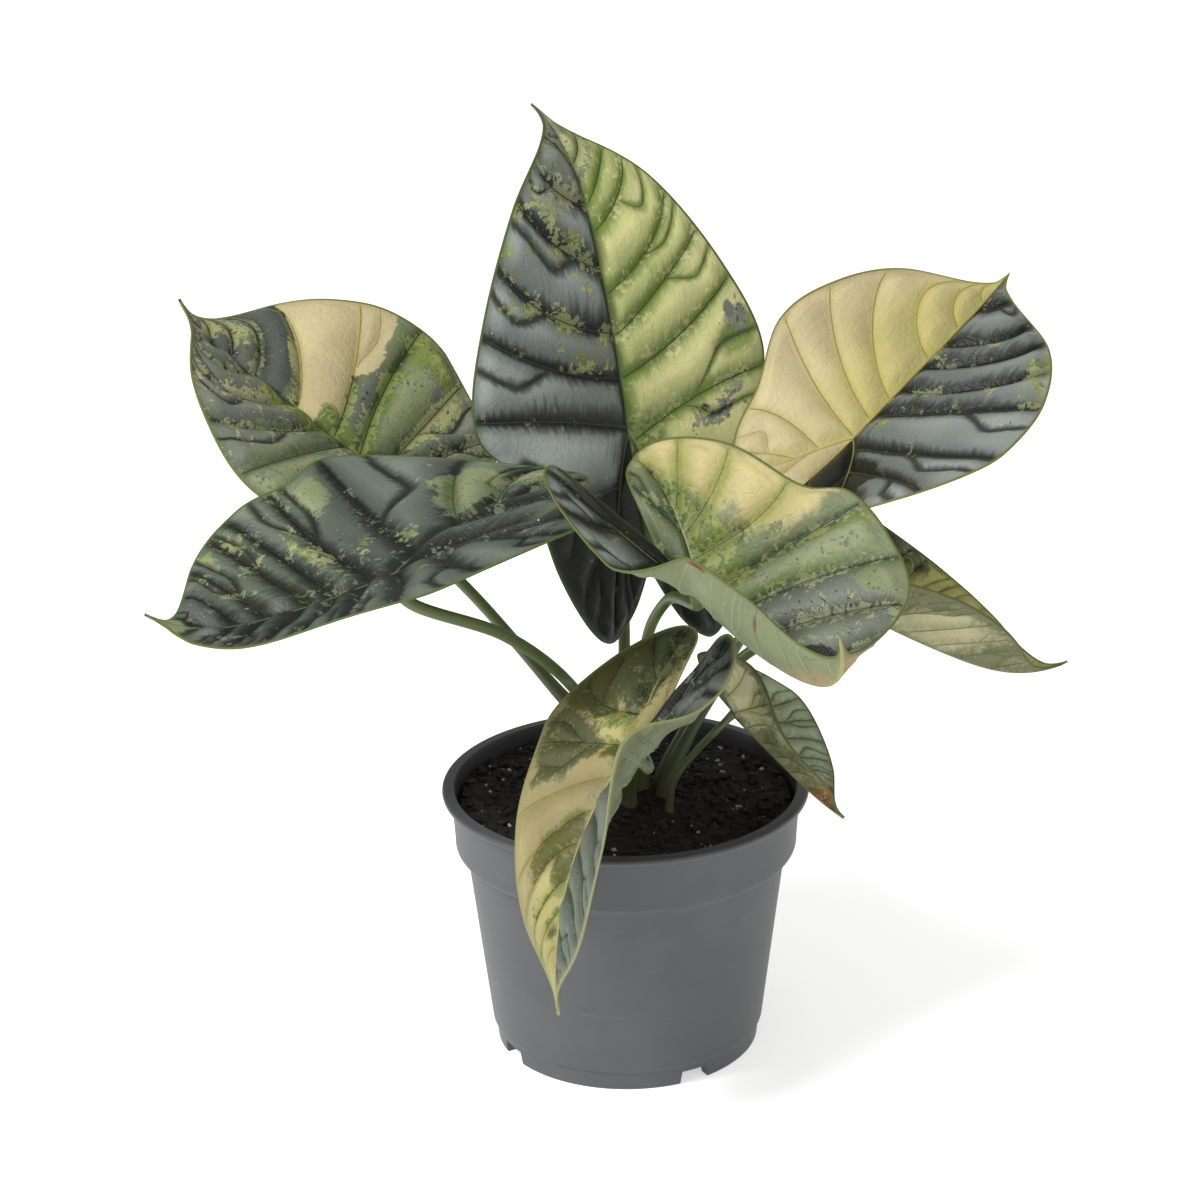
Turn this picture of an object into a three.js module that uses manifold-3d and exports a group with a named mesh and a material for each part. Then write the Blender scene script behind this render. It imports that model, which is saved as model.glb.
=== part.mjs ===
// Potted silver dragon alocasia: a grey nursery pot filled with soil, eight leaf stems standing in
// it, and a quilted, variegated blade on each stem. Millimetres, +Z up. The pot's axis is the line
// that the leaves are placed from; the finished group is moved so that its origin is the bottom
// centre of its box.
import * as THREE from "three";
import { mergeVertices } from "three/addons/utils/BufferGeometryUtils.js";
import Module from "manifold-3d";

const wasm = await Module();
wasm.setup();

// Pot: a 12 cm nursery pot.
const RIM_RADIUS = 60;
const POT_HEIGHT = 90;
const BAND_RADIUS = 57;
const BAND_BOTTOM = 69;
const NECK_RADIUS = 52.4;
const BASE_RADIUS = 44.6;
const FOOT_RADIUS = 43.4;
const FOOT_HEIGHT = 6.6;
const WALL = 1.3;
const LEDGE_TOP = BAND_BOTTOM + 3;
const LEDGE_BOTTOM = BAND_BOTTOM + 0.2;
const POT_SIDES = 48;
const FOOT_GAPS = 4;
const FOOT_GAP_WIDTH = 11;
const FIRST_GAP_ANGLE = 30;
const DRAIN_RADIUS = 3.5;
const DRAIN_CIRCLE = 30;

// Soil, a few millimetres under the rim, heaped a little round the crown.
const SOIL_LEVEL = 85;
const SOIL_CROWN = [6, -3];
const SOIL_HEAP = 3.5;
const SOIL_RINGS = 11;
const GAP = 0.35;
const STEM_DEPTH = 17;
const HOLE_ROOM = 0.9;

// Blade: thickness, height of the quilted panels, and the rows and columns it is split into.
const BLADE_THICKNESS = 0.8;
const PANEL_HEIGHT = 1.5;
const RIB_HEIGHT = 0.9;
const FRONT_VEINS = 7;
const LOBE_VEINS = 3;
const SINUS_VEINS = 2;
const ROWS_PER_VEIN = 2;
const COLUMNS = [0, 0.22, 0.5, 0.8, 1];

// A blade is swept from its tip (0) past the leaf stem's joint to the end of the back lobe, and
// round that lobe to the notch (1).
const JOINT_SWEEP = 0.45;
const LOBE_SWEEP = 0.87;

// Each leaf: where its stem joins the blade, the compass heading and rise of its midrib, the roll
// about it, and its size. Arch and tipCurl bend the midrib (degrees, up is positive), sweep bends
// it sideways and twist turns the cross-section along it. Each half has its own width, back lobe,
// fold up from the midrib, cup across, bend of the lobe, and one slow wave along its margin. Where
// a lobe lies flatter than its half, lobeFold says by how much, and edgeRoll is a margin rolled up
// over the blade: its angle, and the sweeps it starts and ends at.
const LEAVES = {
  centre: {
    joint: [2, 59, 190], heading: 139, rise: 81, roll: -10, length: 110, notch: 46,
    arch: -12, tipCurl: -38, twist: -9, sweep: 1,
    left: {
      width: 61, lobe: 67, widest: 0.13, fullness: 0.85, lobeWidth: 0.81,
      fold: 5, cup: -4, lobeBend: 1, wave: 2.5, waves: 1.8, wavePhase: 32,
    },
    right: {
      width: 53, lobe: 75, widest: 0.17, fullness: 0.85, lobeWidth: 0.91,
      fold: 6, cup: 11, lobeBend: 11, wave: 1.6, waves: 1.3, wavePhase: -101,
    },
  },
  left_upper: {
    joint: [-89, 55, 185], heading: 165, rise: 36, roll: 11, length: 74, notch: 26,
    arch: -3, tipCurl: 26, twist: -2, sweep: -2,
    left: {
      width: 53, lobe: 45, widest: 0.17, fullness: 0.96, lobeWidth: 1,
      fold: -8, cup: -14, lobeBend: 15, wave: 2.4, waves: 1.6, wavePhase: 52,
    },
    right: {
      width: 58, lobe: 46, widest: 0.18, fullness: 1.05, lobeWidth: 1.04,
      fold: 24, cup: 25, lobeBend: 19, wave: 2.7, waves: 1.4, wavePhase: -105,
    },
  },
  left_lower: {
    joint: [-70, -38, 178], heading: 204, rise: -16, roll: 6, length: 72, notch: 42,
    arch: 7, tipCurl: 37, twist: -11, sweep: -29,
    left: {
      width: 35, lobe: 60, widest: 0.16, fullness: 0.97, lobeWidth: 1.04,
      fold: 2, cup: 9, lobeBend: -11, wave: 2.9, waves: 1.6, wavePhase: -100,
    },
    right: {
      width: 60, lobe: 71, widest: 0.14, fullness: 1.07, lobeWidth: 1.18,
      fold: 5, cup: 27, lobeBend: 1, wave: 2.4, waves: 1.4, wavePhase: -113,
    },
  },
  right_upper: {
    joint: [76, 48, 191], heading: 43, rise: 28, roll: 0, length: 86, notch: 26,
    arch: -6, tipCurl: 6, twist: 16, sweep: 5,
    left: {
      width: 47, lobe: 38, widest: 0.22, fullness: 1.08, lobeWidth: 0.85,
      fold: 18, cup: 24, lobeBend: 17, wave: 1.2, waves: 1.4, wavePhase: -68,
    },
    right: {
      width: 62, lobe: 46, widest: 0.14, fullness: 1.03, lobeWidth: 1.04,
      fold: 5, cup: 7, lobeBend: 13, wave: 1.1, waves: 1.7, wavePhase: -11,
    },
  },
  front_right: {
    joint: [22, -56.5, 178], heading: -46, rise: -32, roll: 33, length: 85, notch: 20,
    arch: 60, tipCurl: 56, twist: -9, sweep: 14,
    left: {
      width: 55, lobe: 48, widest: 0.13, fullness: 1.17, lobeWidth: 0.84,
      fold: 10, cup: 16, lobeBend: -14, wave: 0.9, waves: 1.5, wavePhase: 43,
    },
    right: {
      width: 43, lobe: 60, widest: 0.16, fullness: 1.12, lobeWidth: 0.86,
      fold: 64, cup: 38, lobeBend: 38, wave: 2, waves: 1.8, wavePhase: -13, lobeFold: -26,
    },
  },
  front_hanging: {
    joint: [2, -56, 126], heading: -135, rise: -34, roll: 12, length: 82, notch: 22,
    arch: -45, tipCurl: 0, twist: 4, sweep: 8,
    left: {
      width: 37, lobe: 45, widest: 0.15, fullness: 0.98, lobeWidth: 0.96,
      fold: 12, cup: 30, lobeBend: 8, wave: -2.4, waves: 2, wavePhase: -53,
      lobeFold: -8, edgeRoll: [78, 0.3, 0.72],
    },
    right: {
      width: 33, lobe: 49, widest: 0.14, fullness: 0.94, lobeWidth: 1.13,
      fold: 2, cup: 20, lobeBend: -6, wave: -0.4, waves: 1.5, wavePhase: 11,
    },
  },
  small_right: {
    joint: [35, -20, 123], heading: -35, rise: -37, roll: -24, length: 46, notch: 10,
    arch: 4, tipCurl: 7, twist: 10, sweep: 1,
    left: {
      width: 27, lobe: 19, widest: 0.17, fullness: 0.94, lobeWidth: 0.98,
      fold: 18, cup: 17, lobeBend: -2, wave: -0.3, waves: 1.5, wavePhase: 9,
    },
    right: {
      width: 22, lobe: 21, widest: 0.2, fullness: 0.95, lobeWidth: 1.04,
      fold: 43, cup: 3, lobeBend: 7, wave: 2.5, waves: 1.8, wavePhase: 64,
    },
  },
  right_lower: {
    joint: [71, 2, 152], heading: 12, rise: -34, roll: 6, length: 81, notch: 16,
    arch: 9, tipCurl: 36, twist: -6, sweep: 11,
    left: {
      width: 35, lobe: 24, widest: 0.15, fullness: 1.01, lobeWidth: 1.01,
      fold: 33, cup: 10, lobeBend: 0, wave: 0.7, waves: 1.5, wavePhase: 28,
    },
    right: {
      width: 28, lobe: 32, widest: 0.2, fullness: 1.04, lobeWidth: 0.95,
      fold: 46, cup: 11, lobeBend: 0, wave: 1.9, waves: 1.6, wavePhase: -68,
    },
  },
};

// Each leaf stem: its foot in the soil, the points it leans through on its way to the blade, and
// its radius at the foot, where the stem is a wide sheath, and at the blade.
const STEMS = {
  centre: { foot: [5, 7], via: [[1, 20, 99], [0, 38, 109], [0, 55, 125], [-2, 65, 152]], radii: [3.4, 2.1] },
  left_upper: { foot: [-2, 3], via: [[-8, 13, 101], [-21, 24, 111], [-54, 45, 143]], radii: [3.4, 2] },
  left_lower: { foot: [-3, -5], via: [[-5, -9, 105], [-17, -18, 132], [-37, -28, 153]], radii: [3.3, 1.9] },
  right_upper: { foot: [12, 3], via: [[19, 8, 101], [38, 26, 129], [57, 38, 153]], radii: [3.4, 2] },
  front_right: { foot: [5, -1.5], via: [[6, -2, 122], [8, -3, 144], [14, -11, 158]], radii: [3.2, 1.9] },
  front_hanging: { foot: [1, -11], via: [[3, -18, 104], [6, -35, 114]], radii: [3, 1.7] },
  small_right: { foot: [14, -16], via: [[16, -16, 98], [23, -16, 108]], radii: [2.2, 1.2] },
  right_lower: { foot: [12.5, -5], via: [[17, -3, 100], [29, 3, 120], [37, 6, 130], [54, 5, 141]], radii: [3.3, 1.9] },
};
const STEM_SIDES = 8;
const STEM_STEPS = 16;
const SHEATH_SHARE = 0.35;
const APPROACH = 7;
const STEM_GAP = 0.5;

const rad = THREE.MathUtils.degToRad;
const clamp = THREE.MathUtils.clamp;
const smooth = THREE.MathUtils.smoothstep;

const COLOURS = {
  pot: 0x696c70,
  soil: 0x2a231f,
  stem: 0x5d6b3a,
  silver: 0x6f7d78,
  cream: 0xb5b48a,
};

function material(colour, roughness) {
  return new THREE.MeshStandardMaterial({ color: colour, roughness, metalness: 0 });
}

// A geometry's triangles as a solid that can be joined or cut.
function solidOf(geometry) {
  const bare = geometry.clone();
  bare.deleteAttribute("normal");
  bare.deleteAttribute("uv");
  const merged = mergeVertices(bare, 1e-4);
  return new wasm.Manifold(
    new wasm.Mesh({
      numProp: 3,
      vertProperties: new Float32Array(merged.attributes.position.array),
      triVerts: new Uint32Array(merged.index.array),
    }),
  );
}

function geometryOf(solid) {
  const mesh = solid.getMesh();
  const geometry = new THREE.BufferGeometry();
  geometry.setAttribute("position", new THREE.BufferAttribute(new Float32Array(mesh.vertProperties), 3));
  geometry.setIndex(new THREE.BufferAttribute(new Uint32Array(mesh.triVerts), 1));
  geometry.computeVertexNormals();
  return geometry;
}

// A body turned about the Z axis from a profile of [radius, height] pairs.
function turned(profile, sides) {
  const points = profile.map(([radius, height]) => new THREE.Vector2(radius, height));
  return new THREE.LatheGeometry(points, sides).rotateX(Math.PI / 2);
}

// Pot

function potGeometry() {
  const plateTop = FOOT_HEIGHT;
  const plateBottom = FOOT_HEIGHT - WALL;
  const outside = [
    [0, plateBottom],
    [FOOT_RADIUS - 4, plateBottom],
    [FOOT_RADIUS - 4, 0],
    [FOOT_RADIUS, 0],
    [FOOT_RADIUS + 0.6, FOOT_HEIGHT - 0.8],
    [BASE_RADIUS + 0.3, FOOT_HEIGHT + 1.2],
    [NECK_RADIUS, BAND_BOTTOM - 1],
    [BAND_RADIUS - 2.6, BAND_BOTTOM],
    [BAND_RADIUS - 1.1, BAND_BOTTOM + 1.6],
    [BAND_RADIUS, POT_HEIGHT - 2.6],
    [RIM_RADIUS - 0.8, POT_HEIGHT - 2.2],
    [RIM_RADIUS, POT_HEIGHT - 1.3],
    [RIM_RADIUS - 0.6, POT_HEIGHT],
  ];
  const inside = [
    [BAND_RADIUS - WALL, POT_HEIGHT],
    [BAND_RADIUS - WALL - 1, LEDGE_TOP],
    [NECK_RADIUS - WALL, LEDGE_BOTTOM],
    [BASE_RADIUS - WALL, plateTop + 1.4],
    [BASE_RADIUS - WALL - 1.4, plateTop],
    [0, plateTop],
  ];
  let solid = solidOf(turned([...outside, ...inside], POT_SIDES));
  for (let i = 0; i < FOOT_GAPS; i += 1) {
    const angle = rad(FIRST_GAP_ANGLE) + (i * 2 * Math.PI) / FOOT_GAPS;
    const notch = new THREE.BoxGeometry(14, FOOT_GAP_WIDTH, 2 * (plateBottom - 0.7))
      .translate(FOOT_RADIUS - 1, 0, 0)
      .rotateZ(angle);
    const drain = new THREE.CylinderGeometry(DRAIN_RADIUS, DRAIN_RADIUS, 6, 10)
      .rotateX(Math.PI / 2)
      .translate(DRAIN_CIRCLE * Math.cos(angle), DRAIN_CIRCLE * Math.sin(angle), plateTop);
    solid = solid.subtract(solidOf(notch)).subtract(solidOf(drain));
  }
  return geometryOf(solid);
}

// Soil

// Crumbs: a few crossed ripples stand for the lumps, the same each time.
function crumbs(x, y) {
  const coarse = Math.sin(0.31 * x + 1.3 * Math.sin(0.23 * y)) * Math.cos(0.27 * y + 0.9);
  const fine = Math.sin(0.83 * x - 0.5 * y) * Math.sin(0.71 * y + 0.4 * x + 2);
  return 0.7 * coarse + 0.5 * fine;
}

function soilHeight(x, y) {
  const distance = Math.hypot(x - SOIL_CROWN[0], y - SOIL_CROWN[1]);
  return SOIL_LEVEL + SOIL_HEAP * Math.exp(-((distance / 15) ** 2)) + crumbs(x, y);
}

function soilGeometry() {
  const bottom = FOOT_HEIGHT + GAP;
  const topRadius = BAND_RADIUS - WALL - 1 - GAP;
  const wallProfile = [
    [topRadius, LEDGE_TOP + GAP],
    [NECK_RADIUS - WALL - GAP, LEDGE_BOTTOM + GAP],
    [BASE_RADIUS - WALL - GAP, bottom + 1.4],
    [BASE_RADIUS - WALL - 1.4 - GAP, bottom],
  ];
  const positions = [SOIL_CROWN[0], SOIL_CROWN[1], soilHeight(...SOIL_CROWN)];
  const faces = [];
  const ringStart = (ring) => 1 + ring * POT_SIDES;
  const addRing = (heightAt, radius, centreShift) => {
    for (let k = 0; k < POT_SIDES; k += 1) {
      const angle = (k * 2 * Math.PI) / POT_SIDES;
      const x = radius * Math.cos(angle) + SOIL_CROWN[0] * centreShift;
      const y = radius * Math.sin(angle) + SOIL_CROWN[1] * centreShift;
      positions.push(x, y, heightAt(x, y));
    }
  };
  for (let ring = 1; ring <= SOIL_RINGS; ring += 1) {
    const share = ring / SOIL_RINGS;
    addRing(soilHeight, topRadius * share, 1 - share);
  }
  for (const [radius, height] of wallProfile) addRing(() => height, radius, 0);
  const rings = SOIL_RINGS + wallProfile.length;
  const last = positions.length / 3;
  positions.push(0, 0, bottom);
  for (let k = 0; k < POT_SIDES; k += 1) {
    const next = (k + 1) % POT_SIDES;
    faces.push(0, ringStart(0) + k, ringStart(0) + next);
    for (let ring = 0; ring < rings - 1; ring += 1) {
      const a = ringStart(ring) + k;
      const b = ringStart(ring) + next;
      const c = ringStart(ring + 1) + next;
      const d = ringStart(ring + 1) + k;
      faces.push(a, d, c, a, c, b);
    }
    faces.push(last, ringStart(rings - 1) + next, ringStart(rings - 1) + k);
  }
  const geometry = new THREE.BufferGeometry();
  geometry.setAttribute("position", new THREE.Float32BufferAttribute(positions, 3));
  geometry.setIndex(faces);
  let solid = solidOf(geometry);
  for (const stem of Object.values(STEMS)) {
    const radius = stem.radii[0] + HOLE_ROOM;
    const hole = new THREE.CylinderGeometry(radius, radius, 2 * STEM_DEPTH + 1, STEM_SIDES)
      .rotateX(Math.PI / 2)
      .translate(stem.foot[0], stem.foot[1], SOIL_LEVEL);
    solid = solid.subtract(solidOf(hole));
  }
  return geometryOf(solid);
}

// Blade outline and form

// The margin of one half, as knots of [sweep, along the midrib, out from it].
function marginKnots(leaf, half) {
  const { length, notch } = leaf;
  const { width, lobe, widest, fullness, lobeWidth } = half;
  const back = width * lobeWidth;
  return [
    [0, length, 0],
    [0.06, 0.93 * length, 0.13 * width * fullness],
    [0.17, 0.74 * length, 0.56 * width * fullness],
    [0.31, (0.36 + 0.5 * widest) * length, 0.4925 * (1 + 0.76 * fullness) * width],
    [JOINT_SWEEP, widest * length, width],
    [0.57, 0.15 * widest * length - 0.12 * lobe, 0.97 * back],
    [0.69, -0.55 * lobe, 0.84 * back],
    [0.79, -0.88 * lobe, 0.62 * back],
    [LOBE_SWEEP, -lobe, 0.4 * back],
    [0.93, -0.9 * lobe, 0.2 * back],
    [1, -notch, 0],
  ];
}

// A smooth curve through the knots.
function curveAt(knots, t) {
  let i = 0;
  while (i < knots.length - 2 && t > knots[i + 1][0]) i += 1;
  const slope = (k, axis) => {
    const before = knots[Math.max(k - 1, 0)];
    const after = knots[Math.min(k + 1, knots.length - 1)];
    return (after[axis] - before[axis]) / (after[0] - before[0]);
  };
  const span = knots[i + 1][0] - knots[i][0];
  const u = (t - knots[i][0]) / span;
  return [1, 2].map(
    (axis) =>
      knots[i][axis] * (1 + 2 * u) * (1 - u) ** 2 +
      slope(i, axis) * span * u * (1 - u) ** 2 +
      knots[i + 1][axis] * u * u * (3 - 2 * u) +
      slope(i + 1, axis) * span * u * u * (u - 1),
  );
}

// The rib that a row starts from: the midrib, then the back lobe's own rib, out and back again.
function ribAt(leaf, half, t) {
  if (t <= JOINT_SWEEP) return [leaf.length * (1 - t / JOINT_SWEEP), 0];
  const out = (t - JOINT_SWEEP) / (LOBE_SWEEP - JOINT_SWEEP);
  const back = (1 - t) / (1 - LOBE_SWEEP);
  const share = clamp(t <= LOBE_SWEEP ? out : back, 0, 1);
  return [-0.72 * half.lobe * share, 0.34 * half.width * half.lobeWidth * share ** 0.8];
}

// A point along an arc of the given curvature: [forward, up].
function arc(distance, curvature) {
  if (Math.abs(curvature) < 1e-6) return [distance, 0];
  return [Math.sin(curvature * distance) / curvature, (1 - Math.cos(curvature * distance)) / curvature];
}

const CURL_START = 0.55;
const ROLL_START = 0.5;
const LOBE_FOLD_START = -12;
const NO_ROLL = [0, 0, 1];

// A half's cross-section at a distance out from the midrib: [across, height].
function sectionAt(fold, cup, out) {
  const tilt = fold + cup * out;
  return [(Math.sin(tilt) - Math.sin(fold)) / cup, (Math.cos(fold) - Math.cos(tilt)) / cup];
}

// How far the margin has rolled at this sweep and share of the way to it.
function rollTurn(half, t, s) {
  const [angle, start, end] = half.edgeRoll ?? NO_ROLL;
  const middle = (start + end) / 2;
  const amount = smooth(t, start, middle) * (1 - smooth(t, middle, end));
  const beyond = Math.max(s - ROLL_START, 0) / (1 - ROLL_START);
  return (rad(angle) * amount * beyond * beyond) / 3;
}

// A flat point (along the midrib, out from it) laid on the bent blade, in the leaf's own frame:
// x along the midrib, y to its left, z up from the upper face.
function bent(leaf, half, side, along, out, t, s, lift) {
  const share = along / leaf.length;
  const bothLobes = (leaf.left.lobeBend + leaf.right.lobeBend) / 2;
  const lobeBend = bothLobes + (half.lobeBend - bothLobes) * smooth(out, 0, 0.3 * half.width);
  const curvature = along >= 0 ? rad(leaf.arch) / leaf.length : rad(lobeBend) / half.lobe;
  const beyond = Math.max(share - CURL_START, 0) / (1 - CURL_START);
  const pitch = curvature * along + rad(leaf.tipCurl) * beyond * beyond;
  let [forward, up] = arc(along, curvature);
  if (beyond > 0) {
    const [startForward, startUp] = arc(CURL_START * leaf.length, curvature);
    const turn = (rad(leaf.tipCurl) * beyond * beyond) / 3;
    const df = forward - startForward;
    const du = up - startUp;
    forward = startForward + df * Math.cos(turn) - du * Math.sin(turn);
    up = startUp + df * Math.sin(turn) + du * Math.cos(turn);
  }
  const lobeFold = rad(half.lobeFold ?? 0) * smooth(-along, LOBE_FOLD_START, 0.3 * half.lobe);
  const fold = rad(half.fold) + rad(leaf.twist) * clamp(share, -1, 1) * side + lobeFold;
  const cup = (rad(half.cup) || 1e-6) / half.width;
  const ribOut = ribAt(leaf, half, t)[1];
  const hinge = sectionAt(fold, cup, ribOut + (out - ribOut) * (ROLL_START / Math.max(s, ROLL_START)));
  const edge = sectionAt(fold, cup, out);
  const turn = rollTurn(half, t, s);
  const [reachAcross, reachUp] = [edge[0] - hinge[0], edge[1] - hinge[1]];
  const across = hinge[0] + reachAcross * Math.cos(turn) - reachUp * Math.sin(turn);
  const ends = clamp(t / 0.08, 0, 1) * clamp((1 - t) / 0.13, 0, 1);
  const wave = half.wave * Math.sin(2 * Math.PI * half.waves * t + rad(half.wavePhase)) * s * s * ends;
  const height = hinge[1] + reachAcross * Math.sin(turn) + reachUp * Math.cos(turn) + wave + lift;
  const sideways = 0.5 * rad(leaf.sweep) * share * Math.abs(share) * leaf.length;
  return new THREE.Vector3(
    forward - height * Math.sin(pitch),
    side * across + sideways,
    up + height * Math.cos(pitch),
  );
}

// How far a panel stands up between its veins: nothing on a vein, at the rib or at the margin.
function panelLift(row, s) {
  const betweenVeins = Math.abs(Math.sin(Math.PI * row));
  return PANEL_HEIGHT * betweenVeins * smooth(s, 0, 0.2) * (1 - smooth(s, 0.75, 1));
}

// Where a row, counted in veins from the tip, lies in the sweep.
function sweepOf(row) {
  if (row <= FRONT_VEINS) return (JOINT_SWEEP * row) / FRONT_VEINS;
  const lobeEnd = FRONT_VEINS + LOBE_VEINS;
  if (row <= lobeEnd) {
    return JOINT_SWEEP + ((LOBE_SWEEP - JOINT_SWEEP) * (row - FRONT_VEINS)) / LOBE_VEINS;
  }
  return LOBE_SWEEP + ((1 - LOBE_SWEEP) * (row - lobeEnd)) / SINUS_VEINS;
}

// The leaf's frame: midrib heading and rise, then the roll about it.
function leafFrame(leaf) {
  const heading = rad(leaf.heading);
  const rise = rad(leaf.rise);
  const along = new THREE.Vector3(
    Math.cos(rise) * Math.cos(heading),
    Math.cos(rise) * Math.sin(heading),
    Math.sin(rise),
  );
  const level = new THREE.Vector3(0, 0, 1).cross(along).normalize();
  const above = along.clone().cross(level);
  const roll = rad(leaf.roll);
  const left = level.clone().multiplyScalar(Math.cos(roll)).addScaledVector(above, Math.sin(roll));
  const normal = along.clone().cross(left);
  return new THREE.Matrix4().makeBasis(along, left, normal).setPosition(...leaf.joint);
}

// The blade's middle surface: shared points, triangles, and how deep the rib is under each point.
function bladeSurface(leaf) {
  const points = [];
  const ribs = [];
  const index = new Map();
  const faces = [];
  const frontRows = FRONT_VEINS * ROWS_PER_VEIN;
  const lobeRows = LOBE_VEINS * ROWS_PER_VEIN;
  const rowCount = frontRows + 2 * lobeRows;
  const rowAt = (i) => {
    if (i <= frontRows + lobeRows) return i / ROWS_PER_VEIN;
    return FRONT_VEINS + LOBE_VEINS + ((i - frontRows - lobeRows) * SINUS_VEINS) / lobeRows;
  };
  // Points on the midrib, on the notch line and at the tip belong to both halves, and those on a
  // lobe's rib to the rows on both sides of it.
  const keyOf = (side, i, j) => {
    if (i === 0) return "tip";
    if (i === rowCount) return `notch${j === 0 ? "joint" : j}`;
    if (j > 0) return `${side}/${i}/${j}`;
    if (i === frontRows) return "notchjoint";
    if (i < frontRows) return `midrib${i}`;
    return `${side}/lobe${Math.min(i - frontRows, rowCount - i)}`;
  };
  const pointAt = (side, half, i, j) => {
    const key = keyOf(side, i, j);
    if (!index.has(key)) {
      const s = COLUMNS[j];
      const row = rowAt(i);
      const t = sweepOf(row);
      const rib = ribAt(leaf, half, t);
      const margin = curveAt(marginKnots(leaf, half), t);
      const along = rib[0] + (margin[0] - rib[0]) * s;
      const out = rib[1] + (margin[1] - rib[1]) * s;
      const lift = i === rowCount ? 0 : panelLift(row, s);
      index.set(key, points.length);
      points.push(bent(leaf, half, side, along, out, t, s, lift));
      const reach = rib[0] >= 0 ? rib[0] / leaf.length : -rib[0] / half.lobe;
      ribs.push(j === 0 ? RIB_HEIGHT * (1 - 0.8 * reach) : 0);
    }
    return index.get(key);
  };
  for (const [side, half] of [[1, leaf.left], [-1, leaf.right]]) {
    for (let i = 0; i < rowCount; i += 1) {
      for (let j = 0; j < COLUMNS.length - 1; j += 1) {
        const a = pointAt(side, half, i, j);
        const b = pointAt(side, half, i + 1, j);
        const c = pointAt(side, half, i + 1, j + 1);
        const d = pointAt(side, half, i, j + 1);
        const corners = side > 0 ? [[a, c, b], [a, d, c]] : [[a, b, c], [a, c, d]];
        for (const face of corners) {
          if (new Set(face).size === 3) faces.push(face);
        }
      }
    }
  }
  return { points, faces, ribs };
}

// The surface thickened into one closed body, split alike on both faces.
function bladeGeometry(leaf) {
  const { points, faces, ribs } = bladeSurface(leaf);
  const normals = points.map(() => new THREE.Vector3());
  for (const [a, b, c] of faces) {
    const ab = points[b].clone().sub(points[a]);
    const ac = points[c].clone().sub(points[a]);
    const normal = ab.cross(ac);
    for (const k of [a, b, c]) normals[k].add(normal);
  }
  normals.forEach((normal) => normal.normalize());
  const count = points.length;
  const positions = [];
  const push = (k, distance) => {
    const p = points[k].clone().addScaledVector(normals[k], distance);
    positions.push(p.x, p.y, p.z);
  };
  points.forEach((_, k) => push(k, BLADE_THICKNESS / 2));
  points.forEach((_, k) => push(k, -BLADE_THICKNESS / 2 - ribs[k]));
  const triangles = [];
  const edges = new Map();
  for (const [a, b, c] of faces) {
    triangles.push(a, b, c, count + a, count + c, count + b);
    for (const [p, q] of [[a, b], [b, c], [c, a]]) {
      if (edges.has(`${q},${p}`)) edges.delete(`${q},${p}`);
      else edges.set(`${p},${q}`, [p, q]);
    }
  }
  for (const [p, q] of edges.values()) {
    triangles.push(p, count + p, count + q, p, count + q, q);
  }
  const geometry = new THREE.BufferGeometry();
  geometry.setAttribute("position", new THREE.Float32BufferAttribute(positions, 3));
  geometry.setIndex(triangles);
  return geometry.applyMatrix4(leafFrame(leaf));
}

// Leaf stems

function stemGeometry(stem, leaf) {
  const frame = leafFrame(leaf);
  const normal = new THREE.Vector3().setFromMatrixColumn(frame, 2);
  const joint = new THREE.Vector3(...leaf.joint);
  const under = BLADE_THICKNESS / 2 + RIB_HEIGHT + STEM_GAP;
  const [x, y] = stem.foot;
  const curve = new THREE.CatmullRomCurve3([
    new THREE.Vector3(x, y, SOIL_LEVEL - STEM_DEPTH),
    new THREE.Vector3(x, y, SOIL_LEVEL - STEM_DEPTH / 2),
    new THREE.Vector3(x, y, SOIL_LEVEL + 2),
    ...stem.via.map((p) => new THREE.Vector3(...p)),
    joint.clone().addScaledVector(normal, -APPROACH - under),
    joint.clone().addScaledVector(normal, -under),
  ], false, "centripetal");
  const frames = curve.computeFrenetFrames(STEM_STEPS, false);
  const [wide, thin] = stem.radii;
  const positions = [];
  const faces = [];
  for (let i = 0; i <= STEM_STEPS; i += 1) {
    const share = i / STEM_STEPS;
    const centre = curve.getPointAt(share);
    const radius = thin + (wide - thin) * (1 - smooth(share, 0.1, 0.1 + SHEATH_SHARE));
    for (let k = 0; k < STEM_SIDES; k += 1) {
      const angle = (k * 2 * Math.PI) / STEM_SIDES;
      const point = centre
        .clone()
        .addScaledVector(frames.normals[i], radius * Math.cos(angle))
        .addScaledVector(frames.binormals[i], radius * Math.sin(angle));
      positions.push(point.x, point.y, point.z);
    }
  }
  const ends = positions.length / 3;
  for (const share of [0, 1]) {
    const centre = curve.getPointAt(share);
    positions.push(centre.x, centre.y, centre.z);
  }
  for (let k = 0; k < STEM_SIDES; k += 1) {
    const next = (k + 1) % STEM_SIDES;
    for (let i = 0; i < STEM_STEPS; i += 1) {
      const a = i * STEM_SIDES + k;
      const b = i * STEM_SIDES + next;
      const c = a + STEM_SIDES;
      const d = b + STEM_SIDES;
      faces.push(a, b, d, a, d, c);
    }
    const top = STEM_STEPS * STEM_SIDES;
    faces.push(ends, next, k, ends + 1, top + k, top + next);
  }
  const geometry = new THREE.BufferGeometry();
  geometry.setAttribute("position", new THREE.Float32BufferAttribute(positions, 3));
  geometry.setIndex(faces);
  return geometry;
}

// The whole plant in its pot

function named(name, geometry, look) {
  const mesh = new THREE.Mesh(geometry, look);
  mesh.name = name;
  return mesh;
}

const CREAM_LEAVES = new Set(["right_upper", "front_right", "front_hanging", "small_right"]);

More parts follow.
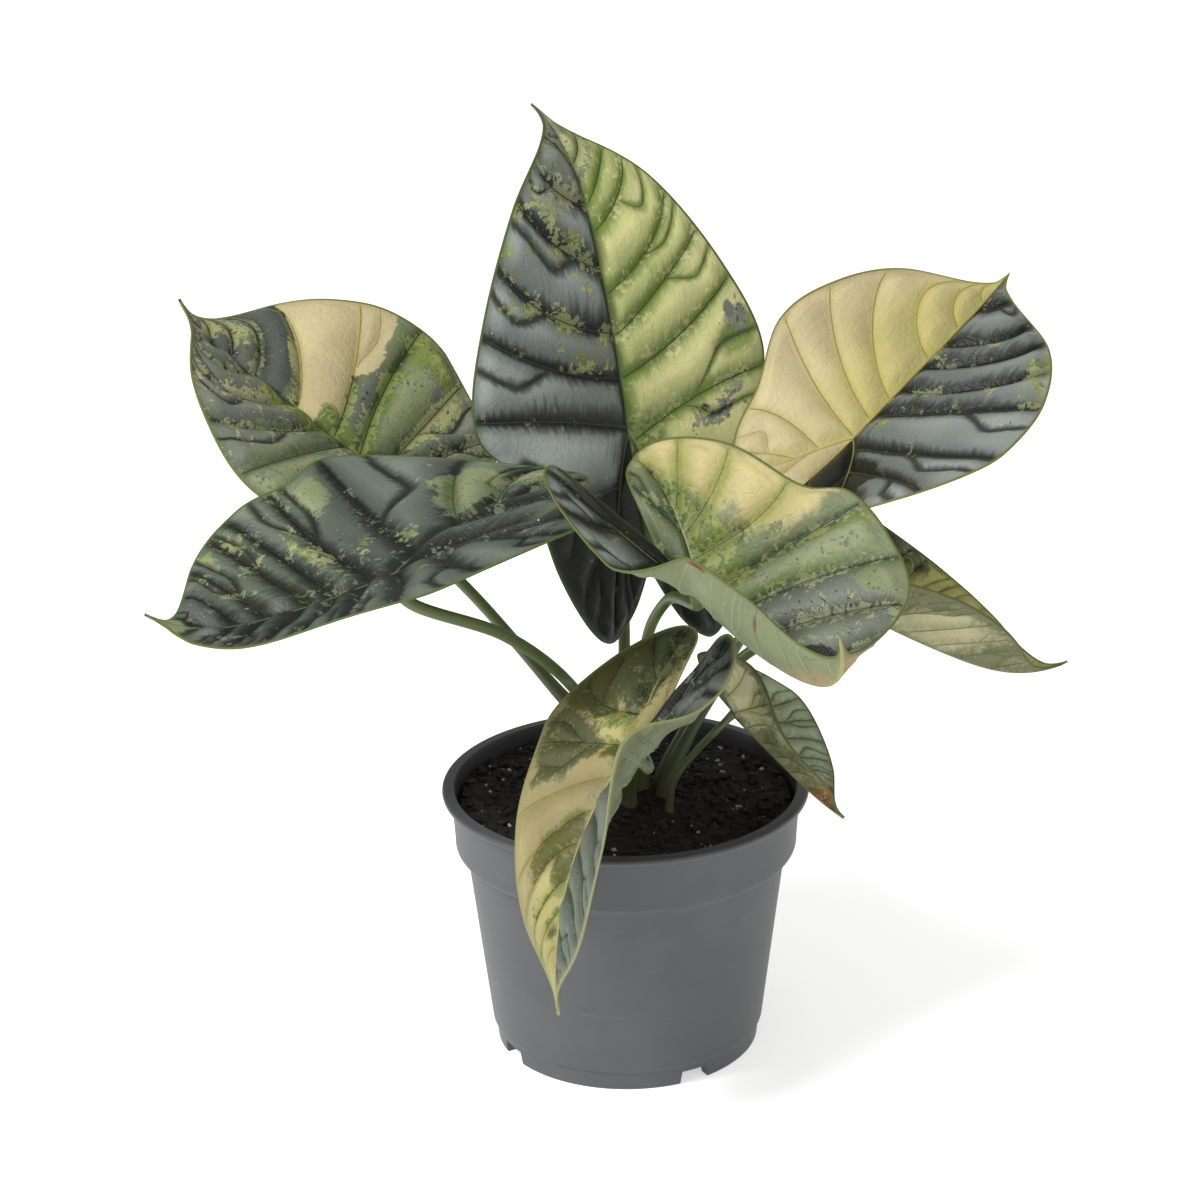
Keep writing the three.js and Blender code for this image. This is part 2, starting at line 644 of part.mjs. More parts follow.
const plant = new THREE.Group();
plant.add(named("pot", potGeometry(), material(COLOURS.pot, 0.45)));
plant.add(named("soil", soilGeometry(), material(COLOURS.soil, 0.95)));
for (const [place, leaf] of Object.entries(LEAVES)) {
  const colour = CREAM_LEAVES.has(place) ? COLOURS.cream : COLOURS.silver;
  plant.add(named(`stem_${place}`, stemGeometry(STEMS[place], leaf), material(COLOURS.stem, 0.5)));
  plant.add(named(`leaf_${place}`, bladeGeometry(leaf), material(colour, 0.5)));
}

const box = new THREE.Box3().setFromObject(plant, true);
const centre = box.getCenter(new THREE.Vector3());
plant.position.set(-centre.x, -centre.y, -box.min.z);

const object = new THREE.Group();
object.add(plant);

export default object;
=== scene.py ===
"""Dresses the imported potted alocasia: quilted variegated blades, stems, soil and a grey pot.

Sizes are in millimetres from the pot's axis at the floor, as in the part's source, and meshes are
written in metres. The blades follow the same form as the solids, with finer relief and veins.
"""

from __future__ import annotations

import logging
import math
from dataclasses import dataclass, field
from enum import Enum
from functools import partial
from typing import Any, Sequence, Union

import bpy
import numpy as np
from mathutils import Matrix, Vector, noise


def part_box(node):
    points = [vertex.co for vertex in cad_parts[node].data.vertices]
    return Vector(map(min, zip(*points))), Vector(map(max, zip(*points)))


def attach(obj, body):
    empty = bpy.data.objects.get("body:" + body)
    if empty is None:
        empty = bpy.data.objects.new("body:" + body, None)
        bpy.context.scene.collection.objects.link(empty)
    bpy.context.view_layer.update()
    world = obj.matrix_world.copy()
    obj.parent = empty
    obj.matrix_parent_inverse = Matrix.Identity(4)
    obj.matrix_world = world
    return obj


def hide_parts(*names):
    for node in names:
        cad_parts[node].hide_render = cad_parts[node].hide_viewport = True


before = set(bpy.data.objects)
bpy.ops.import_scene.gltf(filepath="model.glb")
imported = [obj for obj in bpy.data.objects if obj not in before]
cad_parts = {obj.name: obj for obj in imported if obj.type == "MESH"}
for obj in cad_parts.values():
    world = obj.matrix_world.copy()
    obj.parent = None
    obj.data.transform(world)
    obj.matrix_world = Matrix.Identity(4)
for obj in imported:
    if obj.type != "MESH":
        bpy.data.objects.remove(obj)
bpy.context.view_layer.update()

LOG = logging.getLogger("alocasia")
MM = 0.001
CM = 10.0
BODY = "root"
FULL_TURN = 2 * math.pi

Colour = tuple[float, float, float, float]
Screen = tuple[int, int, int]
Array = np.ndarray
Face = tuple[int, ...]

# Colours read off a lit surface on a screen are lighter than the surface's own colour.
TINT_SHARE = 0.79


def tint(red: int, green: int, blue: int) -> Colour:
    """Makes a surface's own linear colour from how it looks on a screen.

    Args:
        red: the screen's red, 0 to 255.
        green: its green.
        blue: its blue.

    Returns:
        The colour, opaque.
    """
    shares = (value / 255 for value in (red, green, blue))
    linear = (share / 12.92 if share <= 0.04045 else ((share + 0.055) / 1.055) ** 2.4 for share in shares)
    return (*(value * TINT_SHARE for value in linear), 1.0)


def grey(value: float) -> Colour:
    """A grey of this linear value."""
    return (value, value, value, 1.0)


def ease(value: Array, low: float, high: float) -> Array:
    """A smooth step from 0 at low to 1 at high."""
    share = np.clip((value - low) / (high - low), 0, 1)
    return share * share * (3 - 2 * share)


# Shader building


class Socket:
    """A shader socket that takes part in arithmetic: each operator adds a Math node."""

    def __init__(self, shader: "Shader", socket: bpy.types.NodeSocket) -> None:
        """Wraps one output socket of a shader's node."""
        self.shader = shader
        self.socket = socket

    def _math(self, operation: str, *values: "Value") -> "Socket":
        """A Math node on these values."""
        return self.shader.node("ShaderNodeMath", {"operation": operation}, dict(enumerate(values)))

    def __add__(self, other: "Value") -> "Socket":
        """self + other."""
        return self._math("ADD", self, other)

    __radd__ = __add__

    def __sub__(self, other: "Value") -> "Socket":
        """self - other."""
        return self._math("SUBTRACT", self, other)

    def __rsub__(self, other: "Value") -> "Socket":
        """other - self."""
        return self._math("SUBTRACT", other, self)

    def __mul__(self, other: "Value") -> "Socket":
        """self * other."""
        return self._math("MULTIPLY", self, other)

    __rmul__ = __mul__

    def __truediv__(self, other: "Value") -> "Socket":
        """self / other."""
        return self._math("DIVIDE", self, other)

    def __rtruediv__(self, other: "Value") -> "Socket":
        """other / self."""
        return self._math("DIVIDE", other, self)

    def __abs__(self) -> "Socket":
        """The size of self."""
        return self._math("ABSOLUTE", self)

    def least(self, other: "Value") -> "Socket":
        """The smaller of the two."""
        return self._math("MINIMUM", self, other)

    def most(self, other: "Value") -> "Socket":
        """The larger of the two."""
        return self._math("MAXIMUM", self, other)

    def above(self, other: "Value") -> "Socket":
        """1 where self is above other, else 0."""
        return self._math("GREATER_THAN", self, other)

    def ease(self, low: "Value", high: "Value") -> "Socket":
        """A smooth step from 0 at low to 1 at high."""
        settings = {"interpolation_type": "SMOOTHSTEP", "clamp": True}
        ends = {"From Min": low, "From Max": high, "To Min": 0.0, "To Max": 1.0}
        return self.shader.node("ShaderNodeMapRange", settings, {"Value": self, **ends})

    def near(self, low: "Value", high: "Value") -> "Socket":
        """A smooth step from 1 at low to 0 at high."""
        return 1 - self.ease(low, high)


Value = Union[Socket, float, int]
Paint = Union[Socket, Colour]


@dataclass(frozen=True)
class Cloud:
    """A soft noise: its scale, its layers of detail, and how strong the fine layers are."""

    scale: float
    detail: float
    rough: float


class Shader:
    """One material's node tree round a Principled shader."""

    MIX_SHARE = 0
    MIX_FIRST = 6
    MIX_SECOND = 7
    MIX_COLOUR = 2
    MAPPING_SCALE = 3

    def __init__(self, name: str) -> None:
        """Makes an empty material with one Principled shader in it."""
        self.material = bpy.data.materials.new(name)
        self.material.use_nodes = True
        self.tree = self.material.node_tree
        self.surface = self.tree.nodes["Principled BSDF"]

    def node(
        self,
        kind: str,
        settings: dict[str, Any],
        sockets: dict[Union[str, int], Any],
        output: Union[str, int] = 0,
    ) -> Socket:
        """Adds one node.

        Args:
            kind: the node's type name.
            settings: its properties, set before its sockets.
            sockets: values or links by input name or index.
            output: which output to return.

        Returns:
            The chosen output.
        """
        made = self.tree.nodes.new(kind)
        for key, value in settings.items():
            setattr(made, key, value)
        for key, value in sockets.items():
            self.join(made.inputs[key], value)
        return Socket(self, made.outputs[output])

    def join(self, target: bpy.types.NodeSocket, value: Any) -> None:
        """Links a socket to an input, or sets the input's value."""
        if isinstance(value, Socket):
            self.tree.links.new(value.socket, target)
        else:
            target.default_value = value

    def set(self, **inputs: Any) -> None:
        """Sets or links the Principled shader's inputs, with _ for a space in a name."""
        for name, value in inputs.items():
            self.join(self.surface.inputs[name.replace("_", " ")], value)

    def blend(self, share: Value, first: Paint, second: Paint) -> Socket:
        """A colour that goes from first to second."""
        sockets = {self.MIX_SHARE: share, self.MIX_FIRST: first, self.MIX_SECOND: second}
        return self.node("ShaderNodeMix", {"data_type": "RGBA"}, sockets, self.MIX_COLOUR)

    def times(self, first: Paint, second: Paint) -> Socket:
        """Two colours multiplied."""
        settings = {"data_type": "RGBA", "blend_type": "MULTIPLY"}
        sockets = {self.MIX_SHARE: 1.0, self.MIX_FIRST: first, self.MIX_SECOND: second}
        return self.node("ShaderNodeMix", settings, sockets, self.MIX_COLOUR)

    def attribute(self, name: str) -> Socket:
        """A vector that the mesh carries."""
        return self.node("ShaderNodeAttribute", {"attribute_name": name}, {}, "Vector")

    def parts(self, vector: Socket) -> tuple[Socket, Socket, Socket]:
        """A vector's three values."""
        first = self.node("ShaderNodeSeparateXYZ", {}, {0: vector})
        return (first, *(Socket(self, first.socket.node.outputs[index]) for index in (1, 2)))

    def vector(self, x: Value, y: Value, z: Value) -> Socket:
        """A vector of three values."""
        return self.node("ShaderNodeCombineXYZ", {}, {0: x, 1: y, 2: z})

    def place(self) -> Socket:
        """The point on the object, in metres."""
        return self.node("ShaderNodeTexCoord", {}, {}, "Object")

    def stretched(self, where: Socket, scale: tuple[float, float, float]) -> Socket:
        """A place scaled along each axis."""
        return self.node("ShaderNodeMapping", {}, {0: where, self.MAPPING_SCALE: scale})

    def cloud(self, where: Socket, kind: Cloud) -> Socket:
        """Soft noise from 0 to 1."""
        sockets = {"Vector": where, "Scale": kind.scale, "Detail": kind.detail, "Roughness": kind.rough}
        return self.node("ShaderNodeTexNoise", {"noise_dimensions": "3D"}, sockets)

    def cells(self, where: Socket, scale: float) -> Socket:
        """How far each point lies from the borders of a net of cells."""
        settings = {"feature": "DISTANCE_TO_EDGE"}
        return self.node("ShaderNodeTexVoronoi", settings, {"Vector": where, "Scale": scale}, "Distance")

    def bump(self, height: Socket, strength: float, depth: float) -> None:
        """Feeds the shader's normal from a height, with depth in metres."""
        made = self.node("ShaderNodeBump", {}, {"Strength": strength, "Distance": depth, "Height": height})
        self.set(Normal=made)


# Meshes and pieces


def pot_axis() -> Vector:
    """The pot's axis at the floor, in metres."""
    low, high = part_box("pot")
    return Vector(((low.x + high.x) / 2, (low.y + high.y) / 2, low.z))


AXIS = pot_axis()


def mesh_piece(
    name: str,
    points: Array,
    faces: Sequence[Sequence[int]],
    materials: Sequence[bpy.types.Material],
    slot_of_face: Union[Array, None] = None,
    centre: Vector = AXIS,
) -> bpy.types.Object:
    """Makes a smooth mesh object from points in millimetres.

    Args:
        name: the object's name.
        points: one row for each vertex.
        faces: vertex numbers, facing out.
        materials: the material slots.
        slot_of_face: each face's material slot, or None for the first.
        centre: where the points are counted from, in metres.

    Returns:
        The new object, linked to the scene.
    """
    mesh = bpy.data.meshes.new(name)
    mesh.from_pydata((points * MM + np.array(centre)).tolist(), [], faces)
    mesh.polygons.foreach_set("use_smooth", np.ones(len(mesh.polygons), bool))
    for material in materials:
        mesh.materials.append(material)
    if slot_of_face is not None:
        mesh.polygons.foreach_set("material_index", slot_of_face.astype(np.int32))
    mesh.update()
    piece = bpy.data.objects.new(name, mesh)
    bpy.context.scene.collection.objects.link(piece)
    return piece


def settle(piece: bpy.types.Object, slot: str, *nodes: str) -> None:
    """Rides a piece on the body, and lets it stand for solids.

    Args:
        piece: the finished piece.
        slot: not used.
        nodes: the solids that it replaces, if any.
    """
    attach(piece, BODY)
    if nodes:
        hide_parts(*nodes)
    LOG.info("%s: %d faces", piece.name, len(piece.data.polygons))


def carry(piece: bpy.types.Object, name: str, corners: Array) -> None:
    """Stores a vector for each face corner, which a shader reads by name."""
    layer = piece.data.attributes.new(name, "FLOAT_VECTOR", "CORNER")
    layer.data.foreach_set("vector", corners.astype(np.float32).ravel())


def ring(radius: float, level: float, sides: int) -> Array:
    """Points round the pot's axis at one level, from the X axis towards Y."""
    angle = np.arange(sides) * FULL_TURN / sides
    return np.stack([radius * np.cos(angle), radius * np.sin(angle), np.full(sides, float(level))], 1)


def closed_rings(rings: int, sides: int, flip: bool = False) -> list[Face]:
    """The faces of a body that runs from an end point through rings of points to another end point.

    Args:
        rings: how many rings there are.
        sides: how many points each has.
        flip: False where the rings rise as they are numbered, True where they go down.

    Returns:
        The faces, facing out, with the points numbered from end to end.
    """
    top = 1 + (rings - 1) * sides
    faces = []
    for k in range(sides):
        n = (k + 1) % sides
        faces.append((0, 1 + n, 1 + k))
        for low in range(1, top, sides):
            faces.append((low + k, low + n, low + sides + n, low + sides + k))
        faces.append((top + sides, top + k, top + n))
    return [(face[0], *face[:0:-1]) for face in faces] if flip else faces


# Leaf form

# A blade is swept from its tip (0) past the stem's joint to the end of the back lobe, and round
# that lobe to the notch (1). Rows of veins are counted over the same sweep.
JOINT_SWEEP = 0.45
LOBE_SWEEP = 0.87
FRONT_VEINS = 7
LOBE_VEINS = 3
SINUS_VEINS = 2
BEFORE_SINUS = FRONT_VEINS + LOBE_VEINS
LAST_VEIN = BEFORE_SINUS + SINUS_VEINS

# The midrib's tip curls past this share of its length, and a rolled margin turns past this share
# of the way to it.
CURL_START = 0.55
ROLL_START = 0.5

# A lobe's own bend and fold ease in over this share of the half's width or of the lobe, and a
# margin's wave fades over these sweeps at the tip and at the notch.
LOBE_EASE = 0.3
LOBE_FOLD_START = -12.0
TIP_FADE = 0.08
NOTCH_FADE = 0.13

# A back lobe's rib ends at these shares of the lobe's length and width.
LOBE_RIB_LENGTH = 0.72
LOBE_RIB_WIDTH = 0.34

STRAIGHT = 1e-6


def arc(distance: Array, curvature: Array) -> tuple[Array, Array]:
    """(forward, up) of points along an arc of the given curvature."""
    bend = np.where(np.abs(curvature) < STRAIGHT, STRAIGHT, curvature)
    return np.sin(bend * distance) / bend, (1 - np.cos(bend * distance)) / bend


def cupped(out: Array, fold: Array, cup: float) -> tuple[Array, Array]:
    """(across, height) of points this far out on a half that is folded up and cupped."""
    return (np.sin(fold + cup * out) - np.sin(fold)) / cup, (np.cos(fold) - np.cos(fold + cup * out)) / cup


def turned_by(angle: Array, x: Array, y: Array) -> tuple[Array, Array]:
    """(x, y) turned by an angle for each point."""
    return x * np.cos(angle) - y * np.sin(angle), x * np.sin(angle) + y * np.cos(angle)


@dataclass(frozen=True)
class Half:
    """One half of a blade: its outline, its fold and cup, its wave, and how its veins lie.

    Sizes are in millimetres and angles in degrees. The edge roll is an angle and the two sweeps
    that it lies between. Veins are the rows that the veins run along, where they aren't evenly
    spaced. A branch is where it leaves its vein, as a share of the way to the margin, and how far
    across the panel it ends, below 0 where it leaves the vein nearer the joint.
    """

    width: float
    lobe: float
    widest: float
    fullness: float
    lobe_width: float
    fold: float
    cup: float
    lobe_bend: float
    wave: float
    waves: float
    wave_phase: float
    slant: float = 1.0
    lobe_fold: float = 0.0
    edge_roll: tuple[float, float, float] = (0.0, 0.0, 1.0)
    veins: tuple[float, ...] = ()
    branches: tuple[tuple[float, float], ...] = ()

    def vein_at(self, row: Array) -> Array:
        """A row's place counted in this half's own veins from the tip."""
        places = self.veins or tuple(range(1, LAST_VEIN))
        return np.interp(row, [0, *places, LAST_VEIN], np.arange(len(places) + 2))

    def knots(self, length: float, notch: float) -> Array:
        """Works out the margin's knots from the half's proportions.

        Args:
            length: the blade's length from joint to tip.
            notch: how far back the notch lies.

        Returns:
            (sweep, along the midrib, out from it) for each knot.
        """
        width, lobe, full = self.width, self.lobe, self.fullness
        back = width * self.lobe_width
        return np.array([
            (0, length, 0),
            (0.06, 0.93 * length, 0.13 * width * full),
            (0.17, 0.74 * length, 0.56 * width * full),
            (0.31, (0.36 + 0.5 * self.widest) * length, 0.4925 * (1 + 0.76 * full) * width),
            (JOINT_SWEEP, self.widest * length, width),
            (0.57, 0.15 * self.widest * length - 0.12 * lobe, 0.97 * back),
            (0.69, -0.55 * lobe, 0.84 * back),
            (0.79, -0.88 * lobe, 0.62 * back),
            (LOBE_SWEEP, -lobe, 0.4 * back),
            (0.93, -0.9 * lobe, 0.2 * back),
            (1, -notch, 0),
        ])

    def margin(self, t: Array, length: float, notch: float) -> Array:
        """The smooth margin through the knots.

        Args:
            t: sweeps from 0 at the tip to 1 at the notch.
            length: the blade's length from joint to tip.
            notch: how far back the notch lies.

        Returns:
            (along, out) for each sweep, on a new last axis.
        """
        knots = self.knots(length, notch)
        sweep, value = knots[:, 0], knots[:, 1:]
        slope = np.empty_like(value)
        slope[1:-1] = (value[2:] - value[:-2]) / (sweep[2:] - sweep[:-2])[:, None]
        slope[0] = (value[1] - value[0]) / (sweep[1] - sweep[0])
        slope[-1] = (value[-1] - value[-2]) / (sweep[-1] - sweep[-2])
        i = np.clip(np.searchsorted(sweep, t, side="right") - 1, 0, len(sweep) - 2)
        span = (sweep[i + 1] - sweep[i])[..., None]
        u = (t - sweep[i])[..., None] / span
        return (
            value[i] * (1 + 2 * u) * (1 - u) ** 2
            + slope[i] * span * u * (1 - u) ** 2
            + value[i + 1] * u * u * (3 - 2 * u)
            + slope[i + 1] * span * u * u * (u - 1)
        )

    def rib(self, t: Array, length: float) -> Array:
        """The rib that a row starts from: the midrib, then the back lobe's rib.

        Args:
            t: sweeps from 0 at the tip to 1 at the notch.
            length: the blade's length from joint to tip.

        Returns:
            (along, out) for each sweep, on a new last axis.
        """
        out = (t - JOINT_SWEEP) / (LOBE_SWEEP - JOINT_SWEEP)
        back = (1 - t) / (1 - LOBE_SWEEP)
        share = np.clip(np.where(t <= LOBE_SWEEP, out, back), 0, 1)
        front = length * np.clip(1 - t / JOINT_SWEEP, 0, 1)
        side = LOBE_RIB_WIDTH * self.width * self.lobe_width * share**0.8
        return np.stack([front - LOBE_RIB_LENGTH * self.lobe * share, side], -1)


@dataclass(frozen=True)
class Leaf:
    """A blade's place and bends, in millimetres and degrees, and its two halves."""

    joint: tuple[float, float, float]
    heading: float
    rise: float
    roll: float
    length: float
    notch: float
    arch: float
    tip_curl: float
    twist: float
    sweep: float
    left: Half
    right: Half

    def half(self, side: int) -> Half:
        """The half on the left (1) or right (-1) of the tip's direction."""
        return self.left if side > 0 else self.right

    def axes(self) -> Array:
        """Works out the blade's own axes.

        Returns:
            Rows: along the midrib, to its left, and out of the upper face.
        """
        heading, rise, roll = (math.radians(v) for v in (self.heading, self.rise, self.roll))
        level_part = math.cos(rise)
        along = np.array([level_part * math.cos(heading), level_part * math.sin(heading), math.sin(rise)])
        level = np.cross([0, 0, 1], along)
        level /= np.linalg.norm(level)
        left = level * math.cos(roll) + np.cross(along, level) * math.sin(roll)
        return np.stack([along, left, np.cross(along, left)])

    def spine(self, half: Half, along: Array, out: Array) -> tuple[Array, Array, Array]:
        """Bends the midrib, and each lobe behind the joint.

        Args:
            half: the half that the points lie on.
            along: each point's distance along the midrib, below 0 behind the joint.
            out: its distance out from the midrib.

        Returns:
            How far forward and up each point's place on the midrib lies, and its pitch.
        """
        both = (self.left.lobe_bend + self.right.lobe_bend) / 2
        lobe_bend = both + (half.lobe_bend - both) * ease(out, 0, LOBE_EASE * half.width)
        front = math.radians(self.arch) / self.length
        curl = math.radians(self.tip_curl)
        curvature = np.where(along >= 0, front, np.radians(lobe_bend) / half.lobe)
        beyond = np.clip(along / self.length - CURL_START, 0, None) / (1 - CURL_START)
        forward, up = arc(along, curvature)
        start = arc(np.array(CURL_START * self.length), np.array(front))
        curled = turned_by(curl * beyond**2 / 3, forward - start[0], up - start[1])
        forward = np.where(beyond > 0, start[0] + curled[0], forward)
        up = np.where(beyond > 0, start[1] + curled[1], up)
        return forward, up, curvature * along + curl * beyond**2

    def bent(self, side: int, flat: Array, t: Array, s: Array, lift: Array) -> Array:
        """Lays flat points on the bent blade.

        Args:
            side: 1 for the left half, -1 for the right.
            flat: (along, out) for each point.
            t: each point's sweep along the margin.
            s: each point's share of the way from rib to margin.
            lift: how far each point stands above the smooth blade.

        Returns:
            Points in millimetres from the pot's axis.
        """
        half = self.half(side)
        along, out = flat[..., 0], flat[..., 1]
        share = along / self.length
        forward, up, pitch = self.spine(half, along, out)
        fold = math.radians(half.fold) + math.radians(self.twist) * np.clip(share, -1, 1) * side
        fold = fold + math.radians(half.lobe_fold) * ease(-along, LOBE_FOLD_START, LOBE_EASE * half.lobe)
        cup = (math.radians(half.cup) or STRAIGHT) / half.width
        across, height = cupped(out, fold, cup)
        if half.edge_roll[0]:
            across, height = self.rolled(half, (out, t, s), fold, cup, (across, height))
        ends = np.clip(t / TIP_FADE, 0, 1) * np.clip((1 - t) / NOTCH_FADE, 0, 1)
        ripple = np.sin(FULL_TURN * half.waves * t + math.radians(half.wave_phase))
        height = height + half.wave * ripple * s * s * ends + lift
        sideways = 0.5 * math.radians(self.sweep) * share * np.abs(share) * self.length
        local = np.stack([
            forward - height * np.sin(pitch), side * across + sideways, up + height * np.cos(pitch),
        ], -1)
        return local @ self.axes() + np.array(self.joint)

    def rolled(
        self,
        half: Half,
        place: tuple[Array, Array, Array],
        fold: Array,
        cup: float,
        section: tuple[Array, Array],
    ) -> tuple[Array, Array]:
        """Rolls a half's margin up over the blade between two sweeps.

        Args:
            half: the half that rolls.
            place: each point's distance out, sweep and share of the way to the margin.
            fold: the half's fold at each point.
            cup: its curvature across.
            section: each point's (across, height) before the roll.

        Returns:
            (across, height) after it.
        """
        out, t, s = place
        angle, start, end = half.edge_roll
        rib = half.rib(t, self.length)[..., 1]
        hinge = cupped(rib + (out - rib) * ROLL_START / np.maximum(s, ROLL_START), fold, cup)
        beyond = np.clip((s - ROLL_START) / (1 - ROLL_START), 0, 1)
        middle = (start + end) / 2
        amount = ease(t, start, middle) * (1 - ease(t, middle, end))
        turn = math.radians(angle) * amount * beyond**2 / 3
        rolled = turned_by(turn, section[0] - hinge[0], section[1] - hinge[1])
        across, height = (np.where(beyond <= 0, section[k], hinge[k] + rolled[k]) for k in (0, 1))
        return across, height


@dataclass
class Weave:
    """One half of a blade split into rows along its veins and columns from rib to margin.

    Rows are counted in raw rows, and veins in the half's own veins. The spacing is the distance
    from one vein to the next, edge the distance to the margin, and middle the distance to the rib.
    """

    half: Half
    side: int
    row: Array
    vein: Array
    share: Array
    points: Array
    flat: Array
    spacing: Array
    edge: Array
    middle: Array

    def panels(self) -> Array:
        """The panel that each row of faces lies in."""
        return np.floor((self.vein[:-1, 0] + self.vein[1:, 0]) / 2)


# A blade's mesh: millimetres of length to a row between veins and of width to a column, with the
# fewest and the most of each.
ROW_STEP = 7.0
ROWS = (8, 14)
COLUMN_STEP = 1.15
COLUMNS = (24, 50)
CORNERS = ((0, 0), (0, 1), (1, 1), (1, 0))
SMALL = 1e-3
TINY = 1e-6

# Veins run forward on the way to the margin, and stray a little where they aren't near either end.
SLANT_SKEW = 1.5
SLANT_POWER = 1.7
LOBE_SLANT = 0.3
VEIN_STRAY = 0.12
CALM_ROWS = 1.5

# A panel's branch vein: where it leaves its vein and how far across the panel it ends, each with
# the spread from panel to panel, over what share of the way it parts, and how it turns back.
BRANCH_START = (0.4, 0.12)
BRANCH_END = (0.46, 0.08)
BRANCHED_PANELS = (1, 9)
BRANCH_FLIP = 0.4
BRANCH_PARTS = 0.3
BRANCH_BACK = 0.3
BRANCH_TURNS = (0.25, 0.6)

# The quilted panels: their height as a share of the veins' spacing and its limit, how full a
# panel's section is, how much lower a narrow one stands, and where they rise from rib and margin.
PANEL_RISE = 0.23
PANEL_HEIGHT = 3.0
PANEL_FULLNESS = 0.75
PANEL_NARROWING = 0.6
RIB_TO_PANEL = (0.0, 5.0)
MARGIN_TO_PANEL = (1.0, 6.5)

# The drawn-out tip: the rows that it takes, its length on a blade of the length given, and how
# much narrower it gets.
AWN_ROWS = 0.55
AWN_LENGTH = 4.5
AWN_BLADE = 80.0
AWN_NARROWING = 0.45

# Ridges under the blade: the veins' height, half width, fading and start at the margin, and the
# midrib's height and half width, with its size at the tip and the loss of size down a lobe.
VEIN_RIDGE = 0.34
VEIN_RIDGE_WIDTH = 0.8
VEIN_RIDGE_FADE = 0.75
VEIN_RIDGE_START = (1, 4)
RIB_RIDGE = 1.1
RIB_RIDGE_WIDTH = 1.5
RIB_RIDGE_LEAST = 0.2
RIB_AT_TIP = 0.35
LOBE_RIB_LOSS = 0.6

# What a blade's mesh carries for its shader, three values for each name.
FIELD_NAMES = ("vein", "reach", "flat", "patch_a", "patch_b", "patch_under")
UPPER_PATCHES = 6
UNDER_PATCHES = 3
FAR = 30.0


